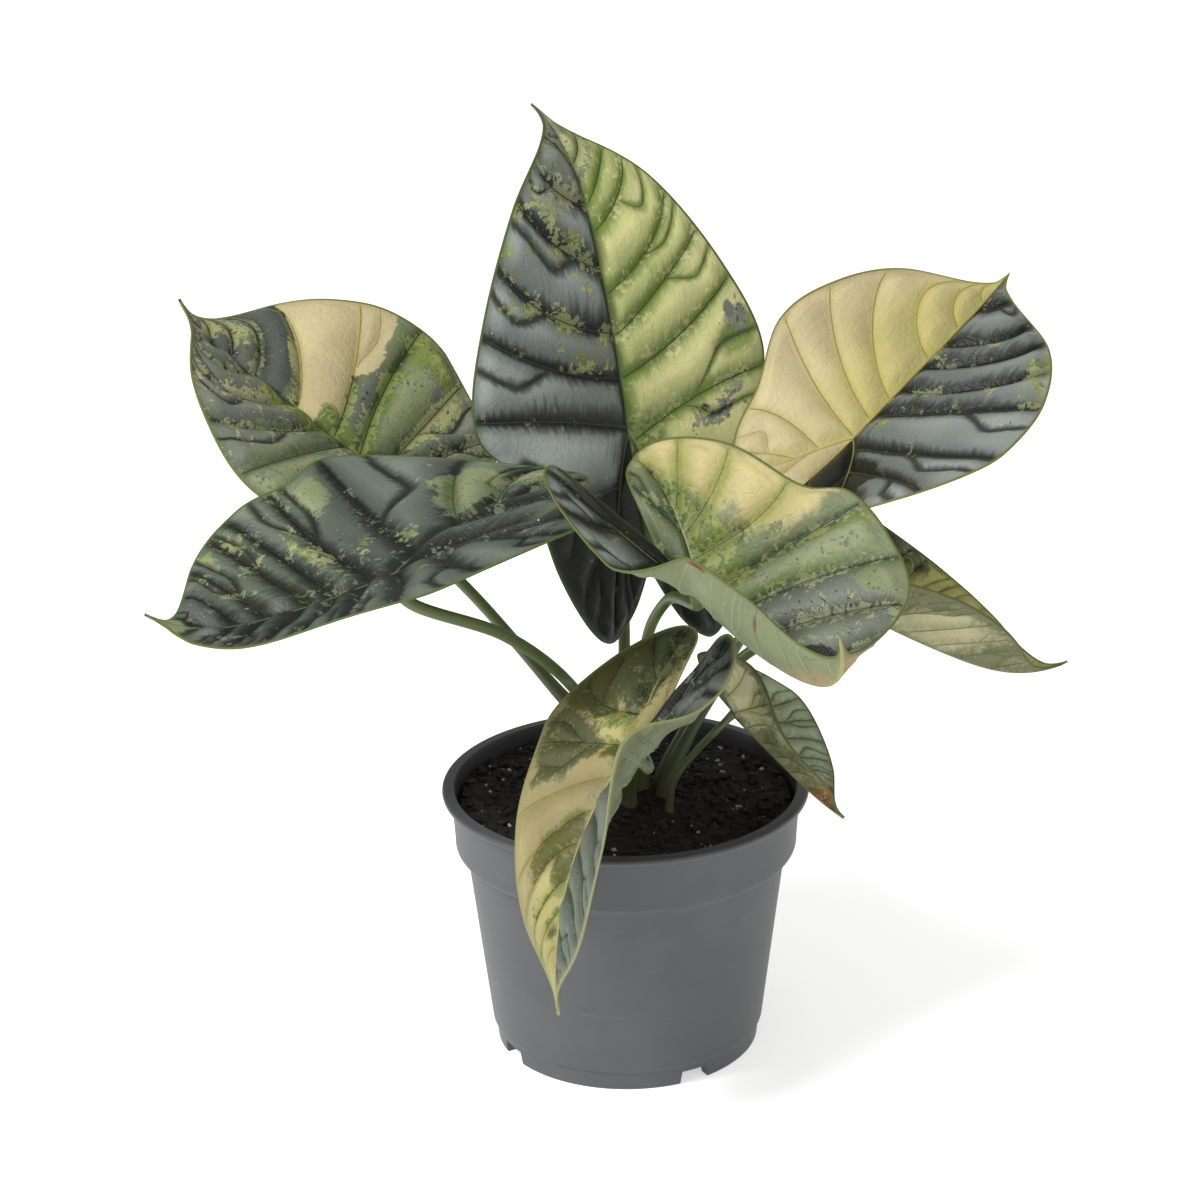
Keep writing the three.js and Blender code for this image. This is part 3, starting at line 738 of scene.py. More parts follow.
@dataclass
class BladeMaker:
    """Builds one blade: a thin closed shell with quilted panels between sunken veins."""

    place: str
    leaf: Leaf
    look: "LeafLook"
    seed: int
    thickness: float = 0.62
    rim_share: float = 0.4
    rows: int = field(init=False)
    columns: int = field(init=False)

    def __post_init__(self) -> None:
        """Chooses the mesh's fineness from the blade's size."""
        widest = max(self.leaf.left.width, self.leaf.right.width)
        self.rows = int(np.clip(round(self.leaf.length / ROW_STEP), *ROWS))
        self.columns = int(np.clip(round(widest / COLUMN_STEP), *COLUMNS))

    def vein_rows(self) -> Array:
        """Places the rows of points.

        Returns:
            Each row's place counted in veins from the tip.
        """
        steps = LOBE_VEINS * self.rows
        front = np.arange(FRONT_VEINS * self.rows) / self.rows
        lobe = FRONT_VEINS + np.arange(steps) / self.rows
        sinus = BEFORE_SINUS + np.arange(steps + 1) * SINUS_VEINS / steps
        return np.concatenate([front, lobe, sinus])

    @staticmethod
    def sweep_of(row: Array) -> Array:
        """Where a row, counted in veins, lies in the sweep from tip to notch."""
        return np.interp(row, [0, FRONT_VEINS, BEFORE_SINUS, LAST_VEIN], [0, JOINT_SWEEP, LOBE_SWEEP, 1])

    def whim(self, number: Array, rate: float, shift: float = 0.0) -> Array:
        """A value from -1 to 1 that differs from one number and blade to the next."""
        return np.sin(rate * number + shift + self.seed)

    def slanted(self, side: int, row: Array, share: Array) -> Array:
        """The row that a vein has slanted to on its way to the margin.

        Args:
            side: 1 for the left half, -1 for the right.
            row: where the vein leaves the rib.
            share: the share of the way from rib to margin.

        Returns:
            The row that each point lies on.
        """
        half = self.leaf.half(side)
        front = np.sin(np.pi * np.clip(row / FRONT_VEINS, 0, 1) ** SLANT_SKEW)
        lobe = np.sin(np.pi * np.clip((row - FRONT_VEINS) / LOBE_VEINS, 0, 1))
        stray = self.whim(row, 2.3, side) * np.sin(np.pi * share) * VEIN_STRAY
        calm = np.clip(row / CALM_ROWS, 0, 1) * np.clip((LAST_VEIN - row) / CALM_ROWS, 0, 1)
        return row + stray * calm + (LOBE_SLANT * lobe - half.slant * front) * share**SLANT_POWER

    def split_at(self, half: Half, side: int, panel: Array, share: Array) -> Array:
        """How far across a panel its branch vein lies: 0 or 1 where it has joined a vein.

        Args:
            half: the half of the blade.
            side: 1 for the left half, -1 for the right.
            panel: the panel's number from the tip.
            share: the share of the way from rib to margin.

        Returns:
            The branch vein's place between the panel's two veins.
        """
        start = BRANCH_START[0] + BRANCH_START[1] * self.whim(panel, 5.1, 1.7 * side)
        end = BRANCH_END[0] + BRANCH_END[1] * self.whim(panel, 3.3)
        flip = self.whim(panel, 2.1, 0.7 * side + 0.3 * self.seed) > BRANCH_FLIP
        end = np.where((panel < BRANCHED_PANELS[0]) | (panel > BRANCHED_PANELS[1]), 0, end)
        for number, (leaves, place) in enumerate(half.branches):
            here = panel == number
            start = np.where(here, leaves, start)
            end = np.where(here, abs(place), end)
            flip = np.where(here, place < 0, flip)
        past = share - start
        out = end * ease(past, 0, BRANCH_PARTS) * (1 - BRANCH_BACK * ease(past, *BRANCH_TURNS))
        return np.where(flip, 1 - out, out)

    def lift_of(self, weave: Weave) -> Array:
        """How far the quilted panels stand above the smooth blade.

        Args:
            weave: the half's grid.

        Returns:
            The height at each point.
        """
        panel = np.floor(weave.vein + TINY)
        split = self.split_at(weave.half, weave.side, panel, weave.share)
        inside = weave.vein - panel
        before = inside < split
        first = np.clip(inside / np.maximum(split, SMALL), 0, 1)
        second = np.clip((inside - split) / np.maximum(1 - split, SMALL), 0, 1)
        wide = np.clip(np.where(before, split, 1 - split), 0, 1)
        pillow = np.abs(np.sin(np.pi * np.where(before, first, second))) ** PANEL_FULLNESS
        tall = np.clip(PANEL_RISE * weave.spacing, 0, PANEL_HEIGHT) * wide**PANEL_NARROWING
        lift = tall * pillow * ease(weave.middle, *RIB_TO_PANEL) * ease(weave.edge, *MARGIN_TO_PANEL)
        lift[-1] = lift[0] = 0
        lift[:, 0] = 0
        return lift

    def weave(self, side: int) -> Weave:
        """Works out one half's grid of points and what the shader needs at each.

        Args:
            side: 1 for the left half, -1 for the right.

        Returns:
            The grid.
        """
        leaf, half = self.leaf, self.leaf.half(side)
        row, share = np.meshgrid(self.vein_rows(), np.linspace(0, 1, self.columns + 1), indexing="ij")
        t = self.sweep_of(self.slanted(side, row, share))
        rib = half.rib(t, leaf.length)
        margin = half.margin(t, leaf.length, leaf.notch)
        flat = rib + (margin - rib) * share[..., None]
        vein = half.vein_at(row)
        down = np.gradient(flat, axis=0) / np.gradient(vein, axis=0)[..., None]
        across = np.gradient(flat, axis=1)
        area = np.abs(down[..., 0] * across[..., 1] - down[..., 1] * across[..., 0])
        spacing = area / np.maximum(np.linalg.norm(across, axis=-1), SMALL)
        reach = np.linalg.norm(margin - rib, axis=-1)
        made = Weave(half, side, row, vein, share, flat, flat, spacing, reach * (1 - share), reach * share)
        awn = np.clip(1 - row / AWN_ROWS, 0, 1) ** 2
        drawn = flat * (1 - np.stack([np.zeros_like(awn), AWN_NARROWING * awn], -1))
        drawn[..., 0] += AWN_LENGTH * awn * leaf.length / AWN_BLADE
        made.points = leaf.bent(side, drawn, t, share, self.lift_of(made))
        return made

    def numbering(self, rows: int) -> tuple[Array, Array]:
        """Vertex numbers of both halves' grids, with shared points given one number.

        Args:
            rows: the number of rows between the tip and the notch line.

        Returns:
            The left half's and the right half's numbers.
        """
        wide = self.columns + 1
        left = np.arange((rows + 1) * wide).reshape(rows + 1, wide)
        right = left + left.size
        joint = FRONT_VEINS * self.rows
        right[:joint + 1, 0] = left[:joint + 1, 0]
        left[0] = right[0] = left[0, 0]
        for grid in (left, right):
            grid[rows, 0] = left[joint, 0]
            for step in range(1, LOBE_VEINS * self.rows):
                grid[rows - step, 0] = grid[joint + step, 0]
        right[rows] = left[rows]
        return left, right

    def joined(self, halves: list[Weave]) -> tuple[Array, list[Array]]:
        """Joins the halves' grids where they share points.

        Args:
            halves: the left and the right half's grid.

        Returns:
            The blade's points, and each half's grid of their numbers.
        """
        grids = self.numbering(len(halves[0].vein) - 1)
        used, inverse = np.unique(np.concatenate([grid.ravel() for grid in grids]), return_inverse=True)
        points = np.concatenate([half.points.reshape(-1, 3) for half in halves])[used]
        return points, [part.reshape(grids[0].shape) for part in np.split(inverse.ravel(), 2)]

    def quilt(self, halves: list[Weave], numbers: list[Array]) -> tuple[Array, Array]:
        """The upper face's quads.

        Args:
            halves: the left and the right half's grid.
            numbers: the numbers of their points.

        Returns:
            The quads, and the fields at their corners.
        """
        quads, corners = [], []
        for weave, number in zip(halves, numbers):
            rows, columns = len(number) - 1, self.columns
            order = CORNERS if weave.side > 0 else (CORNERS[0], *CORNERS[:0:-1])
            quads.append(np.stack([number[a:rows + a, b:columns + b] for a, b in order], -1).reshape(-1, 4))
            panels = weave.panels()[:, None] + np.zeros((1, columns + 1))
            fields = [self.fields(weave, slice(a, rows + a), panels) for a in (0, 1)]
            picked = np.stack([fields[a][:, b:columns + b] for a, b in order], -2)
            corners.append(picked.reshape(-1, 4, fields[0].shape[-1]))
        return np.concatenate(quads), np.concatenate(corners)

    def edge(self, halves: list[Weave], numbers: list[Array], points: Array) -> tuple[Array, Array, Array]:
        """The margin round the whole blade, from tip to notch and back.

        Args:
            halves: the left and the right half's grid.
            numbers: the numbers of their points.
            points: the blade's points.

        Returns:
            The numbers of the margin's points, their fields, and the way out from the blade at each.
        """
        rows = slice(0, None)
        left, right = (self.fields(half, rows, np.floor(half.vein))[:, -1] for half in halves)
        loop, inner = (np.concatenate([numbers[0][:, k], numbers[1][-2:0:-1, k]]) for k in (-1, -2))
        outward = points[loop] - points[inner]
        outward /= np.maximum(np.linalg.norm(outward, axis=1, keepdims=True), TINY)
        return loop, np.concatenate([left, right[-2:0:-1]]), outward

    def build(self) -> None:
        """Makes the blade's piece and lets it stand for its solid."""
        halves = [self.weave(1), self.weave(-1)]
        points, numbers = self.joined(halves)
        quads, data = self.quilt(halves, numbers)
        loop, edge_data, outward = self.edge(halves, numbers, points)
        normal = self.normals(points, quads)
        upper = points + normal * self.thickness / 2
        lower = points - normal * (self.thickness / 2 + self.ridges(halves, numbers, len(points))[:, None])
        rim = points[loop] + outward * self.thickness * self.rim_share
        count = len(points)
        outer = 2 * count + np.arange(len(loop))
        following = np.roll(np.arange(len(loop)), -1)
        walls = np.concatenate([
            np.stack([loop[following], loop, outer, outer[following]], -1),
            np.stack([outer[following], outer, count + loop, count + loop[following]], -1),
        ])
        wall_data = np.stack([edge_data[following], edge_data, edge_data, edge_data[following]], 1)
        faces, corners, slots = self.without_slivers(
            np.concatenate([quads, count + quads[:, ::-1], walls]),
            np.concatenate([data, data[:, ::-1], wall_data, wall_data]),
            np.repeat([0, 1, 0], [len(quads), len(quads), len(walls)]),
        )
        looks = [self.look.material(self.place, self.seed, under) for under in (False, True)]
        shell = np.concatenate([upper, lower, rim])
        piece = mesh_piece(f"blade_{self.place}", shell, faces, looks, slots)
        for place, name in enumerate(FIELD_NAMES):
            carry(piece, name, corners[:, 3 * place:3 * place + 3])
        settle(piece, self.look.slot, f"leaf_{self.place}")

    def fields(self, weave: Weave, rows: slice, panels: Array) -> Array:
        """What the shader reads at each point: veins, distances, the flat place and patch depths.

        Args:
            weave: the half's grid.
            rows: the rows to give.
            panels: the panel that each point counts as lying in.

        Returns:
            The fields on a new last axis, three for each of FIELD_NAMES.
        """
        row, vein, share = weave.row[rows], weave.vein[rows], weave.share[rows]
        spacing, edge, middle = weave.spacing[rows], weave.edge[rows], weave.middle[rows]
        split = self.split_at(weave.half, weave.side, panels, share)
        along, out = weave.flat[rows][..., 0], weave.flat[rows][..., 1] * weave.side
        depths = []
        for patches, room in ((self.look.patches, UPPER_PATCHES), (self.look.below_patches, UNDER_PATCHES)):
            depths += [patch.depth(weave.side, row, share, spacing, edge + middle) for patch in patches]
            depths += [np.full_like(vein, -FAR)] * (room - len(patches))
        return np.stack([vein, share, spacing, edge, middle, split, along, out, panels, *depths], -1)

    @staticmethod
    def without_slivers(faces: Array, data: Array, slots: Array) -> tuple[list, Array, Array]:
        """Drops repeated corners, so that quads at the tip become triangles.

        Args:
            faces: four vertex numbers each.
            data: four rows of fields each.
            slots: each face's material slot.

        Returns:
            The faces as lists, the fields of their corners in order, and the faces' slots.
        """
        keep = faces != np.roll(faces, 1, axis=1)
        good = keep.sum(1) > 2
        kept = [face[mask].tolist() for face, mask in zip(faces[good], keep[good])]
        return kept, data[good][keep[good]], slots[good]

    @staticmethod
    def normals(points: Array, faces: Array) -> Array:
        """Works out each point's normal from the quads round it.

        Args:
            points: the blade's points.
            faces: its quads.

        Returns:
            One unit vector for each point.
        """
        cross = np.cross(points[faces[:, 2]] - points[faces[:, 0]], points[faces[:, 3]] - points[faces[:, 1]])
        total = np.zeros_like(points)
        for corner in range(4):
            np.add.at(total, faces[:, corner], cross)
        return total / np.maximum(np.linalg.norm(total, axis=1, keepdims=True), TINY)

    @staticmethod
    def ridges(halves: list[Weave], numbers: list[Array], count: int) -> Array:
        """How far the ribs and veins stand out under the blade.

        Args:
            halves: the left and the right half's grid.
            numbers: the numbers of their points.
            count: how many points the blade has.

        Returns:
            The height under each point.
        """
        depth = np.zeros(count)
        for weave, number in zip(halves, numbers):
            inside = weave.vein - np.floor(weave.vein)
            away = np.minimum(inside, 1 - inside) * weave.spacing
            fade = (1 - VEIN_RIDGE_FADE * weave.share) * ease(weave.edge, *VEIN_RIDGE_START)
            veins = VEIN_RIDGE * np.exp(-((away / VEIN_RIDGE_WIDTH) ** 2)) * fade
            along = np.clip(weave.vein / FRONT_VEINS, 0, 1)
            lobe = np.clip((weave.vein - FRONT_VEINS) / LOBE_VEINS, 0, 1)
            size = RIB_AT_TIP + (1 - RIB_AT_TIP) * along * (1 - LOBE_RIB_LOSS * lobe)
            width = RIB_RIDGE_WIDTH * size + RIB_RIDGE_LEAST
            rib = RIB_RIDGE * size * np.exp(-((weave.middle / width) ** 2))
            depth[number] = np.maximum(depth[number], np.maximum(veins, rib))
        return depth


# Leaf looks


class Side(Enum):
    """Which half of a blade a patch lies on, seen from its stem to its tip."""

    LEFT = 1
    RIGHT = -1


class Layer(Enum):
    """The colours of a tissue: its panels, the shade along its veins, its veins and its flecks."""

    CREST = "crest"
    # The valley is partly the tissue's own dark colour along its veins and partly painted shade in the
    # grooves between the quilted panels.
    VALLEY = "valley"
    LINE = "line"
    FLECK = "fleck"


@dataclass(frozen=True)
class Tissue:
    """A kind of leaf tissue: the colours of its layers as seen on a screen, and their amounts.

    Shade and rib shade are the widths of the dark bands beside the veins and the midrib, in
    millimetres; these bands are partly the tissue's own colour and partly painted shade of the quilting.
    Flecks and dark are the shares of light flecks and of dark ones.
    """

    crest: Screen
    valley: Screen
    line: Screen
    shade: float
    rib_shade: float
    fleck: Screen = (166, 173, 109)
    flecks: float = 0.0
    dark: float = 0.0

    def colour(self, layer: Layer) -> Colour:
        """One layer's colour."""
        return tint(*getattr(self, layer.value))

    def widths(self) -> Colour:
        """The shades' widths in centimetres and the share of dark flecks, to blend as a colour."""
        return (self.shade / CM, self.rib_shade / CM, self.dark, 1.0)

    def amounts(self) -> Colour:
        """The share of light flecks, to blend as a colour."""
        return (self.flecks, 0.0, 0.0, 1.0)


# How wide a row and a half may count as, in millimetres, where a blob's size is worked out.
ROW_LIMITS = (3, 30)
REACH_LIMITS = (6, 80)


@dataclass(frozen=True)
class Blob:
    """A rounded area on one half, by rows from the tip and share of the way to the margin.

    It reaches rows_wide and shares_wide to either side of its middle. Square is 2 for an oval and
    more for squarer ones, and lean is how many rows it shifts on the way to the margin.
    """

    side: Side
    row: float
    share: float
    rows_wide: float
    shares_wide: float
    square: float = 2.5
    lean: float = 0.0

    def depth(self, side: int, row: Array, share: Array, spacing: Array, reach: Array) -> Array:
        """How many millimetres inside the area each point lies, below 0 outside it.

        Args:
            side: the half that the points lie on, 1 or -1.
            row: each point's row.
            share: its share of the way to the margin.
            spacing: the distance between the veins there.
            reach: the distance from rib to margin there.

        Returns:
            The depths.
        """
        if side != self.side.value:
            return np.full_like(row, -FAR)
        across = (share - self.share) / self.shares_wide
        along = (row - self.row - self.lean * (share - self.share)) / self.rows_wide
        far = (np.abs(along) ** self.square + np.abs(across) ** self.square) ** (1 / self.square)
        long = self.rows_wide * np.clip(spacing, *ROW_LIMITS)
        wide = self.shares_wide * np.clip(reach, *REACH_LIMITS)
        return np.clip((1 - far) * np.minimum(long, wide), -FAR, FAR)


@dataclass(frozen=True)
class Patch:
    """Areas of one other tissue, with how ragged and how soft their edge is."""

    tissue: Tissue
    blobs: tuple[Blob, ...]
    ragged: float = 1.0
    soft: float = 0.35

    def depth(self, side: int, row: Array, share: Array, spacing: Array, reach: Array) -> Array:
        """How many millimetres inside the areas each point lies, below 0 outside them."""
        return np.max([blob.depth(side, row, share, spacing, reach) for blob in self.blobs], 0)


class LeafFields:
    """The values over a blade that its shader works from.

    Before and after are the distances to the vein on the joint's side and on the tip's side, and
    branch the one to the panel's branch vein. The clouds run from 0 to 1.
    """

    STREAKS = Cloud(1.0, 4, 0.65)
    STREAKS_OUT = 0.55
    STREAKS_ALONG = 1.2
    MOTTLE = Cloud(0.13, 6, 0.62)
    DRIFT = Cloud(0.045, 2, 0.5)
    SPECKS = Cloud(0.62, 4, 0.6)
    GRAIN = Cloud(2.2, 2, 0.6)
    NET_SCALE = 0.3
    SEED_SHIFT = 17.0
    SIDE_SHIFT = 7
    JOINED = 0.05
    MOTTLE_WANDER = 15
    SPECK_WANDER = 8

    def __init__(self, shader: Shader, seed: int) -> None:
        """Reads the mesh's fields and works out the noises and distances.

        Args:
            shader: the blade's shader.
            seed: the blade's own number, which shifts its noises.
        """
        self.shader = shader
        self.vein, self.share, spacing = shader.parts(shader.attribute("vein"))
        self.edge, self.middle, split = shader.parts(shader.attribute("reach"))
        along, out, panel = shader.parts(shader.attribute("flat"))
        self.left = out.above(0.0)
        inside = self.vein - panel
        self.before = abs(1 - inside) * spacing
        self.after = abs(inside) * spacing
        joined = (self.JOINED - split).above(0.0) + (split - (1 - self.JOINED)).above(0.0)
        self.branch = abs(inside - split) * spacing + joined * FAR
        flat = shader.vector(along, out, seed * self.SEED_SHIFT)
        strand = shader.vector(
            self.middle * self.STREAKS_OUT, self.vein * self.STREAKS_ALONG, self.left * self.SIDE_SHIFT + seed
        )
        self.streak = shader.cloud(strand, self.STREAKS)
        self.mottle = shader.cloud(flat, self.MOTTLE)
        self.drift = shader.cloud(flat, self.DRIFT)
        self.speck = shader.cloud(flat, self.SPECKS)
        self.grain = shader.cloud(flat, self.GRAIN)
        self.net = shader.cells(flat, self.NET_SCALE)
        self.wander = (self.mottle - 0.5) * self.MOTTLE_WANDER + (self.speck - 0.5) * self.SPECK_WANDER

    def mask(self, depth: Socket, patch: Patch) -> Socket:
        """1 inside a patch, with a ragged edge."""
        return (depth + self.wander * patch.ragged).ease(-patch.soft, patch.soft)


@dataclass(frozen=True)
class Skin:
    """One face's tissues blended over it: their colours, their shades' widths and their flecks.

    Shades reach at_rib of a tissue's shade width at the rib and lose the given share of it on the
    way to the margin. Beside the midrib they grow from rib_at_tip by rib_growth towards the joint.
    """

    paints: dict[Layer, Paint]
    widths: Socket
    amounts: Socket
    at_rib: float = 1.6
    loss: float = 0.95
    rib_at_tip: float = 0.2
    rib_growth: float = 0.9

    def with_patch(self, shader: Shader, mask: Socket, tissue: Tissue) -> "Skin":
        """This skin with another tissue where the mask is 1."""
        return Skin(
            {layer: shader.blend(mask, paint, tissue.colour(layer)) for layer, paint in self.paints.items()},
            shader.blend(mask, self.widths, tissue.widths()),
            shader.blend(mask, self.amounts, tissue.amounts()),
        )

    def measures(self, fields: LeafFields) -> tuple[Socket, Socket, Socket, Socket]:
        """What the shader works from besides the colours.

        Args:
            fields: the blade's fields.

        Returns:
            The shade's width beside a vein and beside the midrib, and the shares of dark flecks
            and of light ones.
        """
        shade, rib, dark = fields.shader.parts(self.widths)
        grown = fields.vein / FRONT_VEINS
        shade = shade * (CM * self.at_rib - CM * self.loss * fields.share)
        rib = rib * (CM * self.rib_at_tip + CM * self.rib_growth * (grown * grown).least(1.0))
        return shade, rib, dark, fields.shader.parts(self.amounts)[0]


@dataclass(frozen=True)
class Shade:
    """How the shade beside the veins lies, with its reaches in a tissue's shade widths.

    The bands beside the veins are partly the tissue's own dark colour and partly painted shade of
    the quilted panels, so they reach further on one side of a vein than on the other. The faint wide
    shade round a vein is painted shade only, where the panels curve down into it. The depths are how
    dark each kind gets, and fray is the least reach and the spread that streaks and drifts give it.
    """

    before: tuple[float, float] = (0.1, 1.45)
    after: tuple[float, float] = (0.04, 0.85)
    pillow_shade_before: float = 2.7
    pillow_shade_after: float = 1.3
    branch: tuple[float, float] = (0.05, 0.7)
    rib: tuple[float, float] = (0.1, 1.4)
    branch_depth: float = 0.9
    rib_depth: float = 0.95
    pillow_shade_depth: float = 0.6
    fray_streaks: tuple[float, float] = (0.6, 0.65)
    fray_drifts: tuple[float, float] = (0.7, 0.6)

    def over(self, fields: LeafFields, width: Socket, rib_width: Socket) -> tuple[Socket, Socket]:
        """Works out the shade over a blade.

        Args:
            fields: the blade's fields.
            width: the shade's width beside a vein.
            rib_width: its width beside the midrib.

        Returns:
            The shade beside the main veins, and all of it, from 0 to 1.
        """
        streaks = self.fray_streaks[0] + fields.streak.ease(0.28, 0.72) * self.fray_streaks[1]
        drifts = self.fray_drifts[0] + fields.drift.ease(0.3, 0.7) * self.fray_drifts[1]
        frayed = streaks * drifts
        ends = width * frayed
        # The vein bands: partly the tissue's own dark colour, partly painted shade of the quilting, wider on
        # one side of the vein.
        before = fields.before.near(width * self.before[0], ends * self.before[1])
        main = before.most(fields.after.near(width * self.after[0], ends * self.after[1]))
        # Painted shade: the faint wide darkening where each quilted panel curves down into its veins.
        pillow_shade = fields.before.near(0.0, width * self.pillow_shade_before)
        pillow_shade = pillow_shade.most(fields.after.near(0.0, width * self.pillow_shade_after))
        branch = fields.branch.near(width * self.branch[0], ends * self.branch[1])
        rib = fields.middle.near(rib_width * self.rib[0], rib_width * frayed * self.rib[1])
        shade = main.most(branch * self.branch_depth).most(rib * self.rib_depth)
        return main, shade.most(pillow_shade * self.pillow_shade_depth)


@dataclass(frozen=True)
class LeafLook:
    """The look of one blade: each half's tissue, patches of other tissue, margin and underside."""

    slot: str
    left: Tissue
    right: Tissue
    below: Tissue
    patches: tuple[Patch, ...] = ()
    below_patches: tuple[Patch, ...] = ()
    margin: Screen = (86, 104, 52)
    midrib: Screen = (112, 128, 74)

    UPPER_ROUGHNESS = 0.42
    UNDER_ROUGHNESS = 0.55
    GLOSS = 0.24
    RELIEF = 0.7
    RELIEF_DEPTH = 0.0007
    FLECK_START = 0.665
    FLECK_SOFT = 0.035
    DARK_START = 0.68
    DARK_SOFT = 0.03
    MORE_FLECKS = 0.2

    def skin(self, fields: LeafFields, under: bool) -> Skin:
        """Blends a face's tissues, with each patch over those before it.

        Args:
            fields: the blade's fields.
            under: True for the underside.

        Returns:
            The skin.
        """
        shader = fields.shader
        left, right = (self.below, self.below) if under else (self.left, self.right)
        patches = self.below_patches if under else self.patches
        names = ("patch_under",) if under else ("patch_a", "patch_b")
        depths = [depth for name in names for depth in shader.parts(shader.attribute(name))]
        made = Skin(
            {layer: shader.blend(fields.left, right.colour(layer), left.colour(layer)) for layer in Layer},
            shader.blend(fields.left, right.widths(), left.widths()),
            shader.blend(fields.left, right.amounts(), left.amounts()),
        )
        for depth, patch in zip(depths, patches):
            made = made.with_patch(shader, fields.mask(depth, patch), patch.tissue)
        return made

    @staticmethod
    def lines(fields: LeafFields) -> Socket:
        """The thin lines of the veins, which end short of the margin and the midrib."""
        main = fields.before.least(fields.after).near(0.1, 0.36)
        line = main.most(fields.branch.near(0.08, 0.3) * 0.8)
        return line * fields.edge.ease(0.6, 2.5) * fields.middle.ease(0.5, 1.5)

    def material(self, place: str, seed: int, under: bool) -> bpy.types.Material:
        """Makes the material of one face of the blade.

        Args:
            place: the blade's name.
            seed: its own number, which shifts its noises.
            under: True for the underside.

        Returns:
            The material.
        """
        shader = Shader(f"leaf_{'under' if under else 'upper'}_{place}")
        fields = LeafFields(shader, seed)
        skin = self.skin(fields, under)
        width, rib_width, dark, flecks = skin.measures(fields)
        main, shade = Shade().over(fields, width, rib_width)
        drifts = shader.blend(fields.drift.ease(0.3, 0.7), grey(0.88), grey(1.1))
        strands = shader.blend(fields.streak.ease(0.3, 0.7), grey(0.97), grey(1.025))
        crest = shader.times(shader.times(skin.paints[Layer.CREST], drifts), strands)
        # Darkens towards the valley colour by the shade: partly the tissue's own dark veins, partly painted
        # shade of the quilted panels.
        paint = shader.blend(shade, crest, skin.paints[Layer.VALLEY])
        start = self.FLECK_START - flecks * (1 + main * 0.9) * self.MORE_FLECKS
        light = (fields.mottle * 0.55 + fields.speck * 0.45).ease(start, start + self.FLECK_SOFT)
        paint = shader.blend(light * (0.92 - shade * 0.5), paint, skin.paints[Layer.FLECK])
        start = self.DARK_START - dark * self.MORE_FLECKS
        dull = (fields.speck * 0.6 + fields.streak * 0.4).ease(start, start + self.DARK_SOFT)
        paint = shader.blend(dull * 0.9, paint, skin.paints[Layer.VALLEY])
        paint = shader.blend(self.lines(fields), paint, skin.paints[Layer.LINE])
        rim = fields.edge.near(0.3, 0.75) * 0.85 + fields.edge.near(0.7, 2.8) * 0.25
        paint = shader.blend(rim.least(1.0), paint, tint(*self.margin))
        paint = shader.blend(fields.middle.near(0.2, 0.55) * 0.9, paint, tint(*self.midrib))
        roughness = self.UNDER_ROUGHNESS if under else self.UPPER_ROUGHNESS
        shader.set(Base_Color=paint, Roughness=roughness + fields.speck * 0.12 - shade * 0.08)
        shader.set(Specular_IOR_Level=self.GLOSS)
        relief = fields.streak * 0.55 + fields.grain * 0.25 + fields.net.least(0.14) * 1.2
        shader.bump(relief, self.RELIEF, self.RELIEF_DEPTH)
        return shader.material


SILVER = Tissue((158, 166, 160), (22, 25, 20), (58, 62, 50), 6.8, 11, (156, 162, 106), 0.24)
FROST = Tissue((178, 190, 156), (122, 134, 104), (104, 114, 86), 1.8, 2.4, (190, 196, 156), 0.45, 0.08)
SMOOTH = Tissue((110, 118, 104), (70, 80, 66), (54, 62, 50), 2.4, 2, (140, 148, 120), 0.15)
GREY = Tissue((132, 136, 120), (40, 44, 33), (26, 29, 22), 3.4, 4.5, (176, 180, 132), 0.62, 0.2)
SILVER_GREEN = Tissue((126, 136, 116), (25, 31, 21), (40, 48, 32), 6.8, 7.5, (150, 163, 116), 0.33, 0.2)
SLATE = Tissue((116, 126, 114), (20, 25, 18), (18, 21, 16), 8.2, 8, (146, 156, 122), 0.28, 0.24)
CHARCOAL = Tissue((110, 114, 106), (27, 29, 24), (22, 24, 20), 4.8, 7, (132, 136, 112), 0.35, 0.35)
FLECKED = Tissue((130, 134, 120), (36, 39, 31), (28, 30, 24), 3.8, 6, (166, 171, 126), 0.6, 0.5)
# Painted shadow: a near-black tissue laid where a blade lies in the shade of the leaves over it, as on the
# back lobes.
SHADOWED = Tissue((36, 39, 30), (16, 18, 13), (60, 66, 44), 3, 6, (128, 134, 92), 0.25, 0.3)
MOTTLED = Tissue((142, 146, 114), (62, 67, 48), (44, 48, 36), 3.2, 5, (174, 178, 114), 0.85, 0.5)
GREY_GREEN = Tissue((132, 141, 106), (56, 68, 38), (41, 49, 28), 3.8, 4.6, (162, 168, 112), 0.42, 0.2)
PALE_GREEN = Tissue((144, 152, 112), (78, 90, 46), (54, 66, 34), 3.8, 4.5, (116, 122, 104), 0.55, 0.45)
GREEN = Tissue((126, 140, 76), (74, 92, 40), (56, 72, 30), 4.2, 6, (162, 168, 96), 0.62, 0.4)
LIME = Tissue((214, 211, 148), (108, 130, 54), (64, 82, 31), 5.4, 7.6, (218, 210, 162), 0.36)
YELLOW_GREEN = Tissue((150, 160, 104), (48, 57, 32), (32, 38, 20), 5.4, 6, (172, 177, 122), 0.5, 0.4)
CREAM = Tissue((208, 193, 148), (197, 184, 124), (146, 140, 64), 1.8, 4, (200, 190, 128), 0.2)
YELLOW = Tissue((202, 191, 128), (188, 178, 100), (142, 136, 58), 2, 5, (206, 196, 138), 0.2)
BUTTER = Tissue((210, 195, 138), (150, 152, 74), (108, 116, 46), 4.2, 7.5, (196, 186, 112), 0.3)
OLIVE = Tissue((98, 98, 48), (80, 82, 38), (66, 70, 30), 2, 5, (132, 128, 70), 0.5, 0.3)
